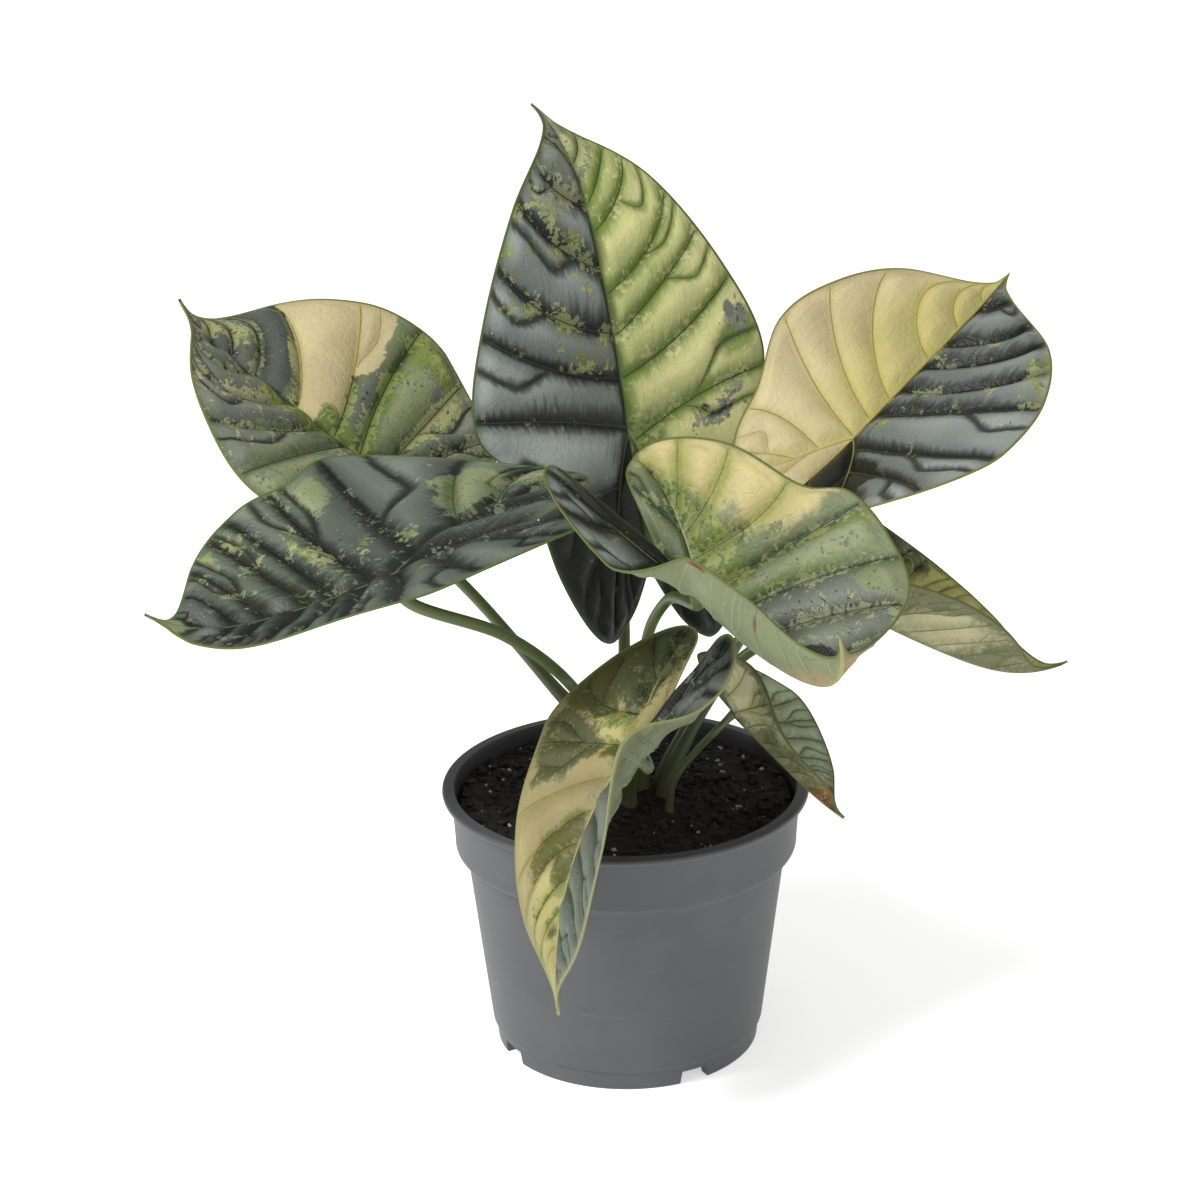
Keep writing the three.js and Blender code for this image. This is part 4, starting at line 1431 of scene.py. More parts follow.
DARK_OLIVE = Tissue((84, 92, 60), (40, 46, 28), (26, 30, 18), 3, 5, (126, 130, 84), 0.55, 0.5)
BLOTCH = Tissue((90, 94, 58), (76, 82, 46), (64, 70, 38), 1.6, 4, (134, 132, 84), 0.5, 0.25)
TAN = Tissue((162, 150, 104), (150, 138, 90), (138, 128, 76), 1.2, 3, (156, 148, 92), 0.3)
STRAW = Tissue((184, 176, 116), (152, 148, 80), (126, 126, 62), 1.6, 4, (192, 184, 128), 0.45)
AMBER = Tissue((190, 187, 110), (150, 150, 74), (106, 110, 48), 2, 2.6, (198, 194, 124), 0.5)
PALE_UNDER = Tissue((132, 140, 106), (124, 133, 96), (150, 158, 122), 1.6, 2.4, (148, 154, 122), 0.3)
OLIVE_UNDER = Tissue((124, 129, 92), (106, 112, 72), (92, 98, 58), 2.2, 3, (154, 152, 116), 0.6, 0.15)
BEIGE_UNDER = Tissue((196, 192, 150), (166, 166, 118), (124, 128, 78), 2.2, 3, (200, 194, 160), 0.5)
MOSS_UNDER = Tissue((104, 112, 82), (88, 96, 64), (120, 128, 96), 1.8, 2.4, (126, 132, 102), 0.55, 0.2)
ROSE = Tissue((160, 142, 102), (150, 136, 94), (150, 134, 92), 1, 1, (196, 150, 112), 0.5)
RED = Tissue((116, 30, 22), (100, 24, 18), (88, 20, 14), 1, 1)
BROWN = Tissue((156, 108, 58), (104, 66, 34), (84, 52, 30), 2, 2, (180, 140, 84), 0.4, 0.3)
UMBER = Tissue((62, 42, 28), (44, 30, 22), (36, 26, 20), 1, 1)

# Blobs on the left and on the right half.
L, R = partial(Blob, Side.LEFT), partial(Blob, Side.RIGHT)

LOOKS: dict[str, LeafLook] = {
    "centre": LeafLook("leaf_silver", SILVER, LIME, PALE_UNDER, (
        Patch(MOTTLED, (R(0.5, 0.4, 1.3, 0.9),), 1),
        Patch(YELLOW_GREEN, (
            L(3.05, 0.36, 0.3, 0.2), L(3.4, 0.25, 0.22, 0.16), L(3.85, 0.69, 0.17, 0.05),
            L(3.75, 0.36, 0.12, 0.16), L(4.3, 0.9, 0.4, 0.05), L(4.85, 0.45, 0.1, 0.2),
            L(1.9, 0.3, 0.3, 0.2), L(5.3, 0.25, 0.2, 0.1), L(2.5, 0.7, 0.3, 0.2),
        ), 2.6, 0.6),
        Patch(GREEN, (R(8.7, 0.5, 0.8, 1), R(6.5, 0.85, 0.3, 0.16), R(7.3, 0.1, 0.6, 0.12)), 0.5, 2.5),
        Patch(FLECKED, (
            R(7.6, 0.32, 0.1, 0.1), R(7.45, 0.66, 0.16, 0.14), R(6.25, 0.93, 0.2, 0.07),
            L(0.6, 0.5, 1.9, 1),
        ), 2.6),
        Patch(CHARCOAL, (R(6.08, 0.855, 0.13, 0.035),), 0.1),
        # Painted shadow on the back lobes, which hang in shade.
        Patch(SHADOWED, (L(10, 0.5, 2.2, 1.1), R(10.4, 0.5, 1.6, 1.1)), 0.3, 4),
    ), margin=(82, 96, 46), midrib=(92, 104, 66)),
    "left_upper": LeafLook("leaf_silver", GREY, GREY_GREEN, PALE_UNDER, (
        Patch(CHARCOAL, (R(3.75, 0.5, 0.58, 0.5, 4, 0.25), R(8.05, 0.8, 0.4, 0.14)), 0.4),
        Patch(FLECKED, (
            R(1.4, 0.5, 1.7, 1, 4), R(6.62, 0.3, 0.36, 0.3), R(8.1, 0.75, 0.7, 0.3), R(8.8, 0.5, 0.5, 0.8),
            L(5.3, 0.35, 0.3, 0.3),
        ), 0.8),
        Patch(MOTTLED, (
            R(2.1, 0.4, 0.85, 0.13), R(1.2, 0.35, 0.5, 0.15), R(4.5, 0.22, 0.3, 0.28),
            R(8.1, 0.5, 0.22, 0.7),
        ), 0.9),
        Patch(CREAM, (R(5.35, 0.4, 0.75, 0.5, 5), R(5.72, 0.8, 1.02, 0.32, 4)), 0.3),
        Patch(GREEN, (
            R(6.1, 0.02, 0.75, 0.14), R(6.25, 0.22, 0.13, 0.2), R(7.15, 0.35, 0.24, 0.5),
            L(5, 0.08, 1.6, 0.15), R(7.5, 0.85, 0.5, 0.12),
        ), 0.7, 1),
        Patch(PALE_GREEN, (
            R(7.62, 0.42, 0.32, 0.32), L(6.72, 0.66, 0.42, 0.3, 3, 0.3), L(6.4, 0.32, 0.2, 0.25),
            L(5.55, 0.4, 0.14, 0.2),
        ), 0.7),
    ), margin=(110, 120, 56), midrib=(66, 74, 36)),
    "left_lower": LeafLook("leaf_silver", SLATE, SILVER_GREEN, PALE_UNDER, (
        Patch(SLATE, (R(7.4, 0.35, 1.1, 0.42), R(8, 0.75, 0.6, 0.4), R(10.8, 0.5, 1, 1)), 0.6, 2),
        Patch(PALE_GREEN, (
            R(8.85, 0.42, 0.55, 0.34), R(9.8, 0.6, 0.5, 0.3), R(7.1, 0.82, 0.24, 0.1),
        ), 1, 1.2),
        Patch(YELLOW_GREEN, (
            R(6, 0.56, 0.15, 0.15), R(5.5, 0.42, 0.12, 0.1), R(7.75, 0.16, 0.17, 0.07),
            R(7.15, 0.33, 0.09, 0.04), R(3.7, 0.85, 0.13, 0.14), R(2.7, 0.55, 0.1, 0.12),
            R(4.7, 0.8, 0.12, 0.1),
        ), 1.2, 0.6),
        Patch(CHARCOAL, (R(1.2, 0.5, 1.2, 0.9), L(1.2, 0.5, 1.3, 0.9)), 0.3, 2),
        Patch(PALE_UNDER, (R(0, 0.5, 0.75, 1.4), L(0, 0.5, 0.95, 1.4)), 0.2, 1),
    ), margin=(90, 108, 50), midrib=(104, 112, 72)),
    "right_upper": LeafLook("leaf_cream", CREAM, SILVER, PALE_UNDER, (
        Patch(YELLOW, (L(2.6, 0.1, 4.6, 0.62, 2), L(0.8, 0.5, 1.4, 0.9)), 0.4, 9),
        Patch(YELLOW_GREEN, (
            R(3.2, 0.08, 0.13, 0.14), R(6.62, 0.09, 0.14, 0.07), R(4.9, 0.9, 0.3, 0.08),
            R(5.55, 0.95, 0.4, 0.05), R(5.05, 0.22, 0.08, 0.12),
        ), 2),
        # Painted shadow on the back lobe, which hangs in shade.
        Patch(SHADOWED, (R(11.1, 0.5, 1.5, 1), R(9.3, 0.1, 1.4, 0.3)), 0.4, 1.5),
    ), margin=(120, 124, 54), midrib=(144, 142, 62)),
    "front_right": LeafLook("leaf_cream", GREY_GREEN, SILVER, PALE_UNDER, (
        Patch(BUTTER, (
            L(9.1, 0.66, 1.1, 0.4, 3), L(7.75, 0.8, 0.62, 0.34, 3), L(7.4, 0.66, 0.3, 0.2),
        ), 0.7, 2.5),
        Patch(GREEN, (L(8.2, 0.12, 2.2, 0.24), L(6.15, 0.3, 0.13, 0.4), L(6.6, 0.75, 0.12, 0.3)), 0.6, 2.5),
        Patch(YELLOW_GREEN, (L(7.3, 0.5, 0.13, 0.1), L(6.72, 0.8, 0.12, 0.05)), 0.8),
        Patch(FLECKED, (L(5.1, 0.45, 0.72, 0.42, 3), L(3.3, 0.5, 1.6, 0.8)), 0.6, 0.8),
        Patch(PALE_GREEN, (L(5.45, 0.78, 0.3, 0.11), L(6.35, 0.6, 0.22, 0.36)), 0.8),
        # Painted shadow on the back lobe and on a strip beside the rib.
        Patch(SHADOWED, (R(11.7, 0.5, 1.15, 1.2), L(2.2, 0.15, 1.4, 0.2)), 0.3),
    ), (
        Patch(ROSE, (R(1.6, 0.05, 1.4, 0.14), L(0.6, 0.5, 0.8, 0.9)), 0.5, 2.5),
        Patch(RED, (R(3.95, 0.74, 0.07, 0.17), R(6.7, 0.97, 0.3, 0.03)), 0.15, 0.8),
    ), margin=(98, 108, 48), midrib=(160, 166, 100)),
    "front_hanging": LeafLook("leaf_cream", SLATE, TAN, MOSS_UNDER, (
        Patch(STRAW, (R(1.5, 0.3, 2.2, 0.6), R(7.6, 0.25, 0.9, 0.35)), 0.5, 4),
        Patch(OLIVE, (
            R(4.55, 0.36, 0.62, 0.36, 3), R(3.6, 0.14, 0.6, 0.14), R(8.8, 0.8, 1.1, 0.4),
            R(6.85, 0.12, 0.3, 0.14), R(1.9, 0.2, 0.16, 0.16),
        ), 0.5, 1.2),
        Patch(BLOTCH, (
            R(7.1, 0.66, 0.75, 0.3, 3), R(6.9, 0.42, 0.4, 0.16), R(8.1, 0.5, 0.3, 0.2), R(9, 0.3, 0.8, 0.3),
        ), 0.8, 1.4),
        Patch(GREEN, (
            R(3, 0.25, 0.12, 0.3), R(2.35, 0.3, 0.12, 0.3), R(7.7, 0.22, 0.2, 0.1), R(7.1, 0.15, 0.2, 0.12),
            L(0.4, 0.5, 0.8, 1),
        ), 0.9, 0.8),
        Patch(DARK_OLIVE, (R(10.2, 0.5, 1.2, 1), R(8.5, 0.2, 0.4, 0.12)), 0.8, 1.5),
        Patch(SMOOTH, (L(3.3, 0.5, 2.9, 1.1, 4),), 0.4, 3),
    ), margin=(146, 148, 98), midrib=(180, 182, 104)),
    "small_right": LeafLook("leaf_cream", GREY_GREEN, GREY_GREEN, OLIVE_UNDER, (
        Patch(FROST, (L(5, 0.5, 4.6, 0.8),), 0.6, 4),
        Patch(BROWN, (L(0.4, 0.5, 1.9, 1.2), R(0.4, 0.5, 1.6, 1.2)), 0.4, 2),
        Patch(UMBER, (L(0, 0.5, 0.55, 1.4), R(0, 0.5, 0.55, 1.4)), 0.1, 1),
    ), (
        Patch(BEIGE_UNDER, (R(7.2, 0.42, 1.7, 0.34), R(5.4, 0.8, 0.8, 0.2)), 0.8, 2),
        Patch(BROWN, (R(0.4, 0.5, 1.6, 1.2), L(0.4, 0.5, 1.6, 1.2)), 0.4, 2),
        Patch(UMBER, (L(0, 0.5, 0.55, 1.4), R(0, 0.5, 0.55, 1.4)), 0.1, 1),
    ), margin=(88, 98, 50), midrib=(130, 138, 78)),
    "right_lower": LeafLook("leaf_silver", DARK_OLIVE, DARK_OLIVE, OLIVE_UNDER, (
        Patch(AMBER, (L(4, 0.7, 2, 0.4), L(1.2, 0.5, 2, 1)), 0.9, 3),
    ), (
        Patch(BEIGE_UNDER, (R(4.6, 0.4, 1.3, 0.4),), 0.8, 4),
    ), margin=(92, 98, 44), midrib=(150, 146, 84)),
}

PLAIN = (0.5, 0)

LEAVES: dict[str, Leaf] = {
    "centre": Leaf(
        (2, 59, 190), 139, 81, -10, 110, 46, -12, -38, -9, 1,
        Half(61, 67, 0.13, 0.85, 0.81, 5, -4, 1, 2.5, 1.8, 32, slant=1.12,
             veins=(1.1, 2.11, 3.45, 4.81, 5.78, 6.84, 8, 9, 10, 11),
             branches=((0.5, 0), (0.5, 0), (0.55, 0.4), (0.22, 0.45), (0.5, 0.45), (0.45, 0.52))),
        Half(53, 75, 0.17, 0.85, 0.91, 6, 11, 11, 1.6, 1.3, -101, slant=1.02,
             veins=(1.2, 2.1, 2.66, 3.98, 4.89, 5.79, 7.15, 8.1, 9, 10, 11),
             branches=((0.5, 0), (0.5, 0), (0.5, 0), (0.42, 0.5), (0.4, 0.45), (0.5, 0.5), (0.45, -0.5))),
    ),
    "left_upper": Leaf(
        (-89, 55, 185), 165, 36, 11, 74, 26, -3, 26, -2, -2,
        Half(53, 45, 0.17, 0.96, 1, -8, -14, 15, 2.4, 1.6, 52, slant=2.7,
             veins=(1.5, 2.93, 4.4, 5.75, 6.61, 7.5, 8.5, 9.5, 10.7)),
        Half(58, 46, 0.18, 1.05, 1.04, 24, 25, 19, 2.7, 1.4, -105, slant=2.28,
             veins=(1.2, 2.1, 2.99, 4.7, 6.15, 7.11, 8.05, 9, 10, 11),
             branches=(PLAIN, PLAIN, PLAIN, PLAIN, PLAIN, (0.5, 0.4), PLAIN)),
    ),
    "left_lower": Leaf(
        (-70, -38, 178), 204, -16, 6, 72, 42, 7, 37, -11, -29,
        Half(35, 60, 0.16, 0.97, 1.04, 2, 9, -11, 2.9, 1.6, -100),
        Half(60, 71, 0.14, 1.07, 1.18, 5, 27, 1, 2.4, 1.4, -113, slant=0.77,
             veins=(1.1, 2.1, 3.03, 4.36, 5.05, 6.37, 7.54, 8.6, 9.4, 10.3, 11)),
    ),
    "right_upper": Leaf(
        (76, 48, 191), 43, 28, 0, 86, 26, -6, 6, 16, 5,
        Half(47, 38, 0.22, 1.08, 0.85, 18, 24, 17, 1.2, 1.4, -68, slant=2.7,
             veins=(1, 2.2, 3.55, 5.36, 6.2, 6.92, 8.08, 9, 10, 11), branches=(PLAIN,) * 7),
        Half(62, 46, 0.14, 1.03, 1.04, 5, 7, 13, 1.1, 1.7, -11, slant=1.6,
             veins=(1.4, 3, 4, 5, 6.05, 7.4, 8.4, 9.3, 10.2, 11),
             branches=((0.5, 0), (0.5, 0.3), (0.5, 0), (0.5, 0), (0.5, 0), (0.5, 0.45), (0.35, 0.5))),
    ),
    "front_right": Leaf(
        (22, -56.5, 178), -46, -32, 33, 85, 20, 60, 56, -9, 14,
        Half(55, 48, 0.13, 1.17, 0.84, 10, 16, -14, 0.9, 1.5, 43, slant=2.7,
             veins=(1.2, 2.93, 4.9, 5.9, 6.78, 7.77, 8.44, 9.1, 10.2, 11), branches=(PLAIN,) * 9),
        Half(43, 60, 0.16, 1.12, 0.86, 64, 38, 38, 2, 1.8, -13, lobe_fold=-26),
    ),
    "front_hanging": Leaf(
        (2, -56, 126), -135, -34, 12, 82, 22, -45, 0, 4, 8,
        Half(37, 45, 0.15, 0.98, 0.96, 12, 30, 8, -2.4, 2, -53, lobe_fold=-8, edge_roll=(78, 0.3, 0.72)),
        Half(33, 49, 0.14, 0.94, 1.13, 2, 20, -6, -0.4, 1.5, 11, slant=1.74,
             veins=(1.4, 2.4, 3.18, 4.12, 5.1, 6.1, 7.1, 8.1, 9.1, 10.1, 11), branches=(PLAIN,) * 6),
    ),
    "small_right": Leaf(
        (35, -20, 123), -35, -37, -24, 46, 10, 4, 7, 10, 1,
        Half(27, 19, 0.17, 0.94, 0.98, 18, 17, -2, -0.3, 1.5, 9),
        Half(22, 21, 0.20, 0.95, 1.04, 43, 3, 7, 2.5, 1.8, 64),
    ),
    "right_lower": Leaf(
        (71, 2, 152), 12, -34, 6, 81, 16, 9, 36, -6, 11,
        Half(35, 24, 0.15, 1.01, 1.01, 33, 10, 0, 0.7, 1.5, 28),
        Half(28, 32, 0.20, 1.04, 0.95, 46, 11, 0, 1.9, 1.6, -68),
    ),
}


# Leaf stems


@dataclass(frozen=True)
class StemFinish:
    """Smooth green stem skin, paler and brown-flecked in its sheath.

    The spans are heights in metres over the floor: where the green turns paler, and where the
    sheath ends, which ragged shifts up and down.
    """

    name: str
    upper: Colour = tint(102, 116, 62)
    lower: Colour = tint(82, 94, 48)
    sheath: Colour = tint(112, 108, 74)
    stripes: Cloud = Cloud(1.0, 3, 0.55)
    stripes_round: float = 14
    stripes_along: float = 3
    paler: tuple[float, float] = (0.09, 0.15)
    sheath_end: tuple[float, float] = (0.088, 0.1)
    ragged: float = 0.012

    def material(self) -> bpy.types.Material:
        """Makes the stem's material.

        Returns:
            The material.
        """
        shader = Shader(self.name)
        height = shader.parts(shader.place())[2]
        _, along, turned = shader.parts(shader.attribute("stem"))
        strand = shader.vector(turned * self.stripes_round, along * self.stripes_along, 0.0)
        stripe = shader.cloud(strand, self.stripes)
        paint = shader.blend(height.ease(*self.paler), self.lower, self.upper)
        sheathed = (height + (stripe - 0.5) * self.ragged).near(*self.sheath_end)
        paint = shader.blend(sheathed * 0.7, paint, self.sheath)
        streaked = shader.blend(stripe.ease(0.35, 0.75), grey(0.8), grey(1.12))
        shader.set(Base_Color=shader.times(paint, streaked), Roughness=0.38 + stripe * 0.15)
        shader.bump(stripe, 0.25, 0.0003)
        return shader.material


@dataclass(frozen=True)
class Stem:
    """A leaf stem's foot, the points that it leans through, and its radius at foot and blade."""

    foot: tuple[float, float]
    via: tuple[tuple[float, float, float], ...]
    radii: tuple[float, float]


STEMS: dict[str, Stem] = {
    "centre": Stem((5, 7), ((1, 20, 99), (0, 38, 109), (0, 55, 125), (-2, 65, 152)), (3.4, 2.1)),
    "left_upper": Stem((-2, 3), ((-8, 13, 101), (-21, 24, 111), (-54, 45, 143)), (3.4, 2.0)),
    "left_lower": Stem((-3, -5), ((-5, -9, 105), (-17, -18, 132), (-37, -28, 153)), (3.3, 1.9)),
    "right_upper": Stem((12, 3), ((19, 8, 101), (38, 26, 129), (57, 38, 153)), (3.4, 2.0)),
    "front_right": Stem((5, -1.5), ((6, -2, 122), (8, -3, 144), (14, -11, 158)), (3.2, 1.9)),
    "front_hanging": Stem((1, -11), ((3, -18, 104), (6, -35, 114)), (3.0, 1.7)),
    "small_right": Stem((14, -16), ((16, -16, 98), (23, -16, 108)), (2.2, 1.2)),
    "right_lower": Stem((12.5, -5), ((17, -3, 100), (29, 3, 120), (37, 6, 130), (54, 5, 141)), (3.3, 1.9)),
}

# How the stems stand in the soil and meet their blades, in millimetres.
SOIL_LEVEL = 85.0
STEM_DEPTH = 17.0
FOOT_RISE = 2.0
APPROACH = 8.8
IN_BLADE = 0.5

SPLINE_STEPS = 40
SHORTEST_GAP = 1e-4


def spline(points: Array, samples: int) -> Array:
    """A centripetal curve through points, sampled evenly along its length.

    Args:
        points: the points that it passes through.
        samples: how many points to return.

    Returns:
        The sampled points.
    """
    ends = np.concatenate([[2 * points[0] - points[1]], points, [2 * points[-1] - points[-2]]])
    fine = []
    for i in range(1, len(ends) - 2):
        p0, p1, p2, p3 = ends[i - 1:i + 3]
        gaps = np.linalg.norm([p1 - p0, p2 - p1, p3 - p2], axis=1)
        d0, d1, d2 = np.maximum(gaps**0.5, SHORTEST_GAP)
        m1 = ((p1 - p0) / d0 - (p2 - p0) / (d0 + d1) + (p2 - p1) / d1) * d1
        m2 = ((p2 - p1) / d1 - (p3 - p1) / (d1 + d2) + (p3 - p2) / d2) * d1
        square = 3 * p2 - 3 * p1 - 2 * m1 - m2
        cube = 2 * p1 - 2 * p2 + m1 + m2
        u = np.linspace(0, 1, SPLINE_STEPS, endpoint=i == len(ends) - 3)[:, None]
        fine.append(p1 + m1 * u + square * u**2 + cube * u**3)
    path = np.concatenate(fine)
    along = np.concatenate([[0], np.cumsum(np.linalg.norm(np.diff(path, axis=0), axis=1))])
    even = np.linspace(0, along[-1], samples)
    return np.stack([np.interp(even, along, path[:, k]) for k in range(3)], 1)


@dataclass
class StemMaker:
    """Builds one leaf stem, from its sheath in the soil to the underside of its blade.

    The spans are shares of the stem's length from its foot, and angles are round it.
    """

    place: str
    stem: Stem
    leaf: Leaf
    sides: int = 28
    steps: int = 110

    TAPER = (0.1, 0.45)
    FLARE = 0.22
    FLARE_SPAN = (0.93, 1.0)
    SHEATH = (0.12, 0.4)
    GROOVE_DEPTH = 0.1
    GROOVE_ANGLE = 2.2
    GROOVE_WIDTH = 0.35
    SHEATH_OVAL = 0.05
    OVAL = 0.04
    OVAL_TWIST = 5
    SIDE_HINT = (0.3, 1, 0.1)

    def route(self) -> Array:
        """The stem's middle line."""
        normal = self.leaf.axes()[2]
        joint = np.array(self.leaf.joint)
        rises = (-STEM_DEPTH, -STEM_DEPTH / 2, FOOT_RISE)
        points = [
            *((*self.stem.foot, SOIL_LEVEL + rise) for rise in rises),
            *self.stem.via,
            joint - normal * APPROACH,
            joint - normal * IN_BLADE,
        ]
        return spline(np.array(points, float), self.steps)

    def section(self, share: float, angle: Array) -> Array:
        """The radius of one ring at each angle round it, over the stem's own radius there."""
        sheath = 1 - ease(np.array(share), *self.SHEATH)
        groove = self.GROOVE_DEPTH * np.exp(-(((angle - self.GROOVE_ANGLE) / self.GROOVE_WIDTH) ** 2))
        sheathed = 1 + sheath * (self.SHEATH_OVAL * np.cos(2 * angle) - groove)
        return sheathed * (1 + self.OVAL * np.cos(2 * angle + self.OVAL_TWIST * share))

    def rings(self, path: Array) -> Array:
        """The points round the stem.

        Args:
            path: its middle line.

        Returns:
            The points, ring by ring from the foot.
        """
        tangent = np.gradient(path, axis=0)
        tangent /= np.linalg.norm(tangent, axis=1, keepdims=True)
        share = np.linspace(0, 1, self.steps)
        wide, thin = self.stem.radii
        radius = thin + (wide - thin) * (1 - ease(share, *self.TAPER))
        radius = radius * (1 + self.FLARE * ease(share, *self.FLARE_SPAN))
        angle = np.arange(self.sides) * FULL_TURN / self.sides
        side = np.cross(tangent[0], self.SIDE_HINT)
        rings = []
        for i in range(self.steps):
            side = side - tangent[i] * (side @ tangent[i])
            side /= np.linalg.norm(side)
            other = np.cross(tangent[i], side)
            out = radius[i] * self.section(share[i], angle)
            rings.append(path[i] + np.outer(out * np.cos(angle), side) + np.outer(out * np.sin(angle), other))
        return np.concatenate(rings)

    def strands(self) -> Array:
        """For each face corner, its share along the stem and its share round it."""
        last = self.steps - 1
        corners = []
        for k in range(self.sides):
            corners += [(0, 0, k)] * 3
            for i in range(last):
                corners += [(0, i, k), (0, i, k + 1), (0, i + 1, k + 1), (0, i + 1, k)]
            corners += [(0, last, k)] * 3
        return np.array(corners, float) / (1, last, self.sides)

    def build(self) -> None:
        """Makes the stem's piece and lets it stand for its solid."""
        path = self.route()
        points = np.concatenate([path[:1], self.rings(path), path[-1:]])
        faces = closed_rings(self.steps, self.sides)
        material = StemFinish(f"stem_{self.place}").material()
        piece = mesh_piece(f"stalk_{self.place}", points, faces, [material])
        carry(piece, "stem", self.strands())
        settle(piece, "stem", f"stem_{self.place}")


# Soil


@dataclass(frozen=True)
class SoilFinish:
    """Moist black-brown potting mix with pale dust."""

    name: str = "soil_mix"
    dark: Colour = tint(12, 10, 8)
    light: Colour = tint(32, 26, 22)
    dusty: Colour = tint(98, 90, 78)
    lumps: Cloud = Cloud(260, 5, 0.7)
    dust: Cloud = Cloud(1400, 2, 0.7)

    def material(self) -> bpy.types.Material:
        """Makes the soil's material.

        Returns:
            The material.
        """
        shader = Shader(self.name)
        place = shader.place()
        lumps = shader.cloud(place, self.lumps)
        dust = shader.cloud(place, self.dust)
        paint = shader.blend(lumps.ease(0.38, 0.72), self.dark, self.light)
        paint = shader.blend(dust.ease(0.66, 0.74) * 0.5, paint, self.dusty)
        shader.set(Base_Color=paint, Roughness=0.72 + dust * 0.25)
        shader.bump(lumps * 0.7 + dust * 0.3, 0.9, 0.0011)
        return shader.material


@dataclass(frozen=True)
class GrainFinish:
    """The skin of one kind of loose grain."""

    name: str
    low: Colour
    high: Colour
    roughness: float
    patchy: Cloud = Cloud(420, 4, 0.65)

    def material(self) -> bpy.types.Material:
        """Makes the grains' material.

        Returns:
            The material.
        """
        shader = Shader(self.name)
        patchy = shader.cloud(shader.place(), self.patchy)
        shader.set(Base_Color=shader.blend(patchy.ease(0.35, 0.65), self.low, self.high))
        shader.set(Roughness=self.roughness + patchy * 0.1)
        shader.bump(patchy, 0.6, 0.0005)
        return shader.material


@dataclass(frozen=True)
class Scatter:
    """One kind of loose grain: its skin, how many, their radii, the seed and how flat they are.

    Flat is a grain's height as a share of its width.
    """

    finish: GrainFinish
    count: int
    sizes: tuple[float, float]
    seed: int
    flat: float


CRUMBS = GrainFinish("soil_crumbs", tint(15, 13, 11), tint(40, 33, 28), 0.75)
BARK = GrainFinish("bark_bits", tint(30, 23, 18), tint(58, 46, 36), 0.7)
PERLITE = GrainFinish("perlite_grains", tint(176, 172, 162), tint(214, 211, 203), 0.8)
SCATTERS = (
    Scatter(CRUMBS, 900, (0.35, 1.7), 11, 0.7),
    Scatter(BARK, 110, (0.6, 2.4), 5, 0.45),
    Scatter(PERLITE, 120, (0.25, 1.15), 23, 0.85),
)


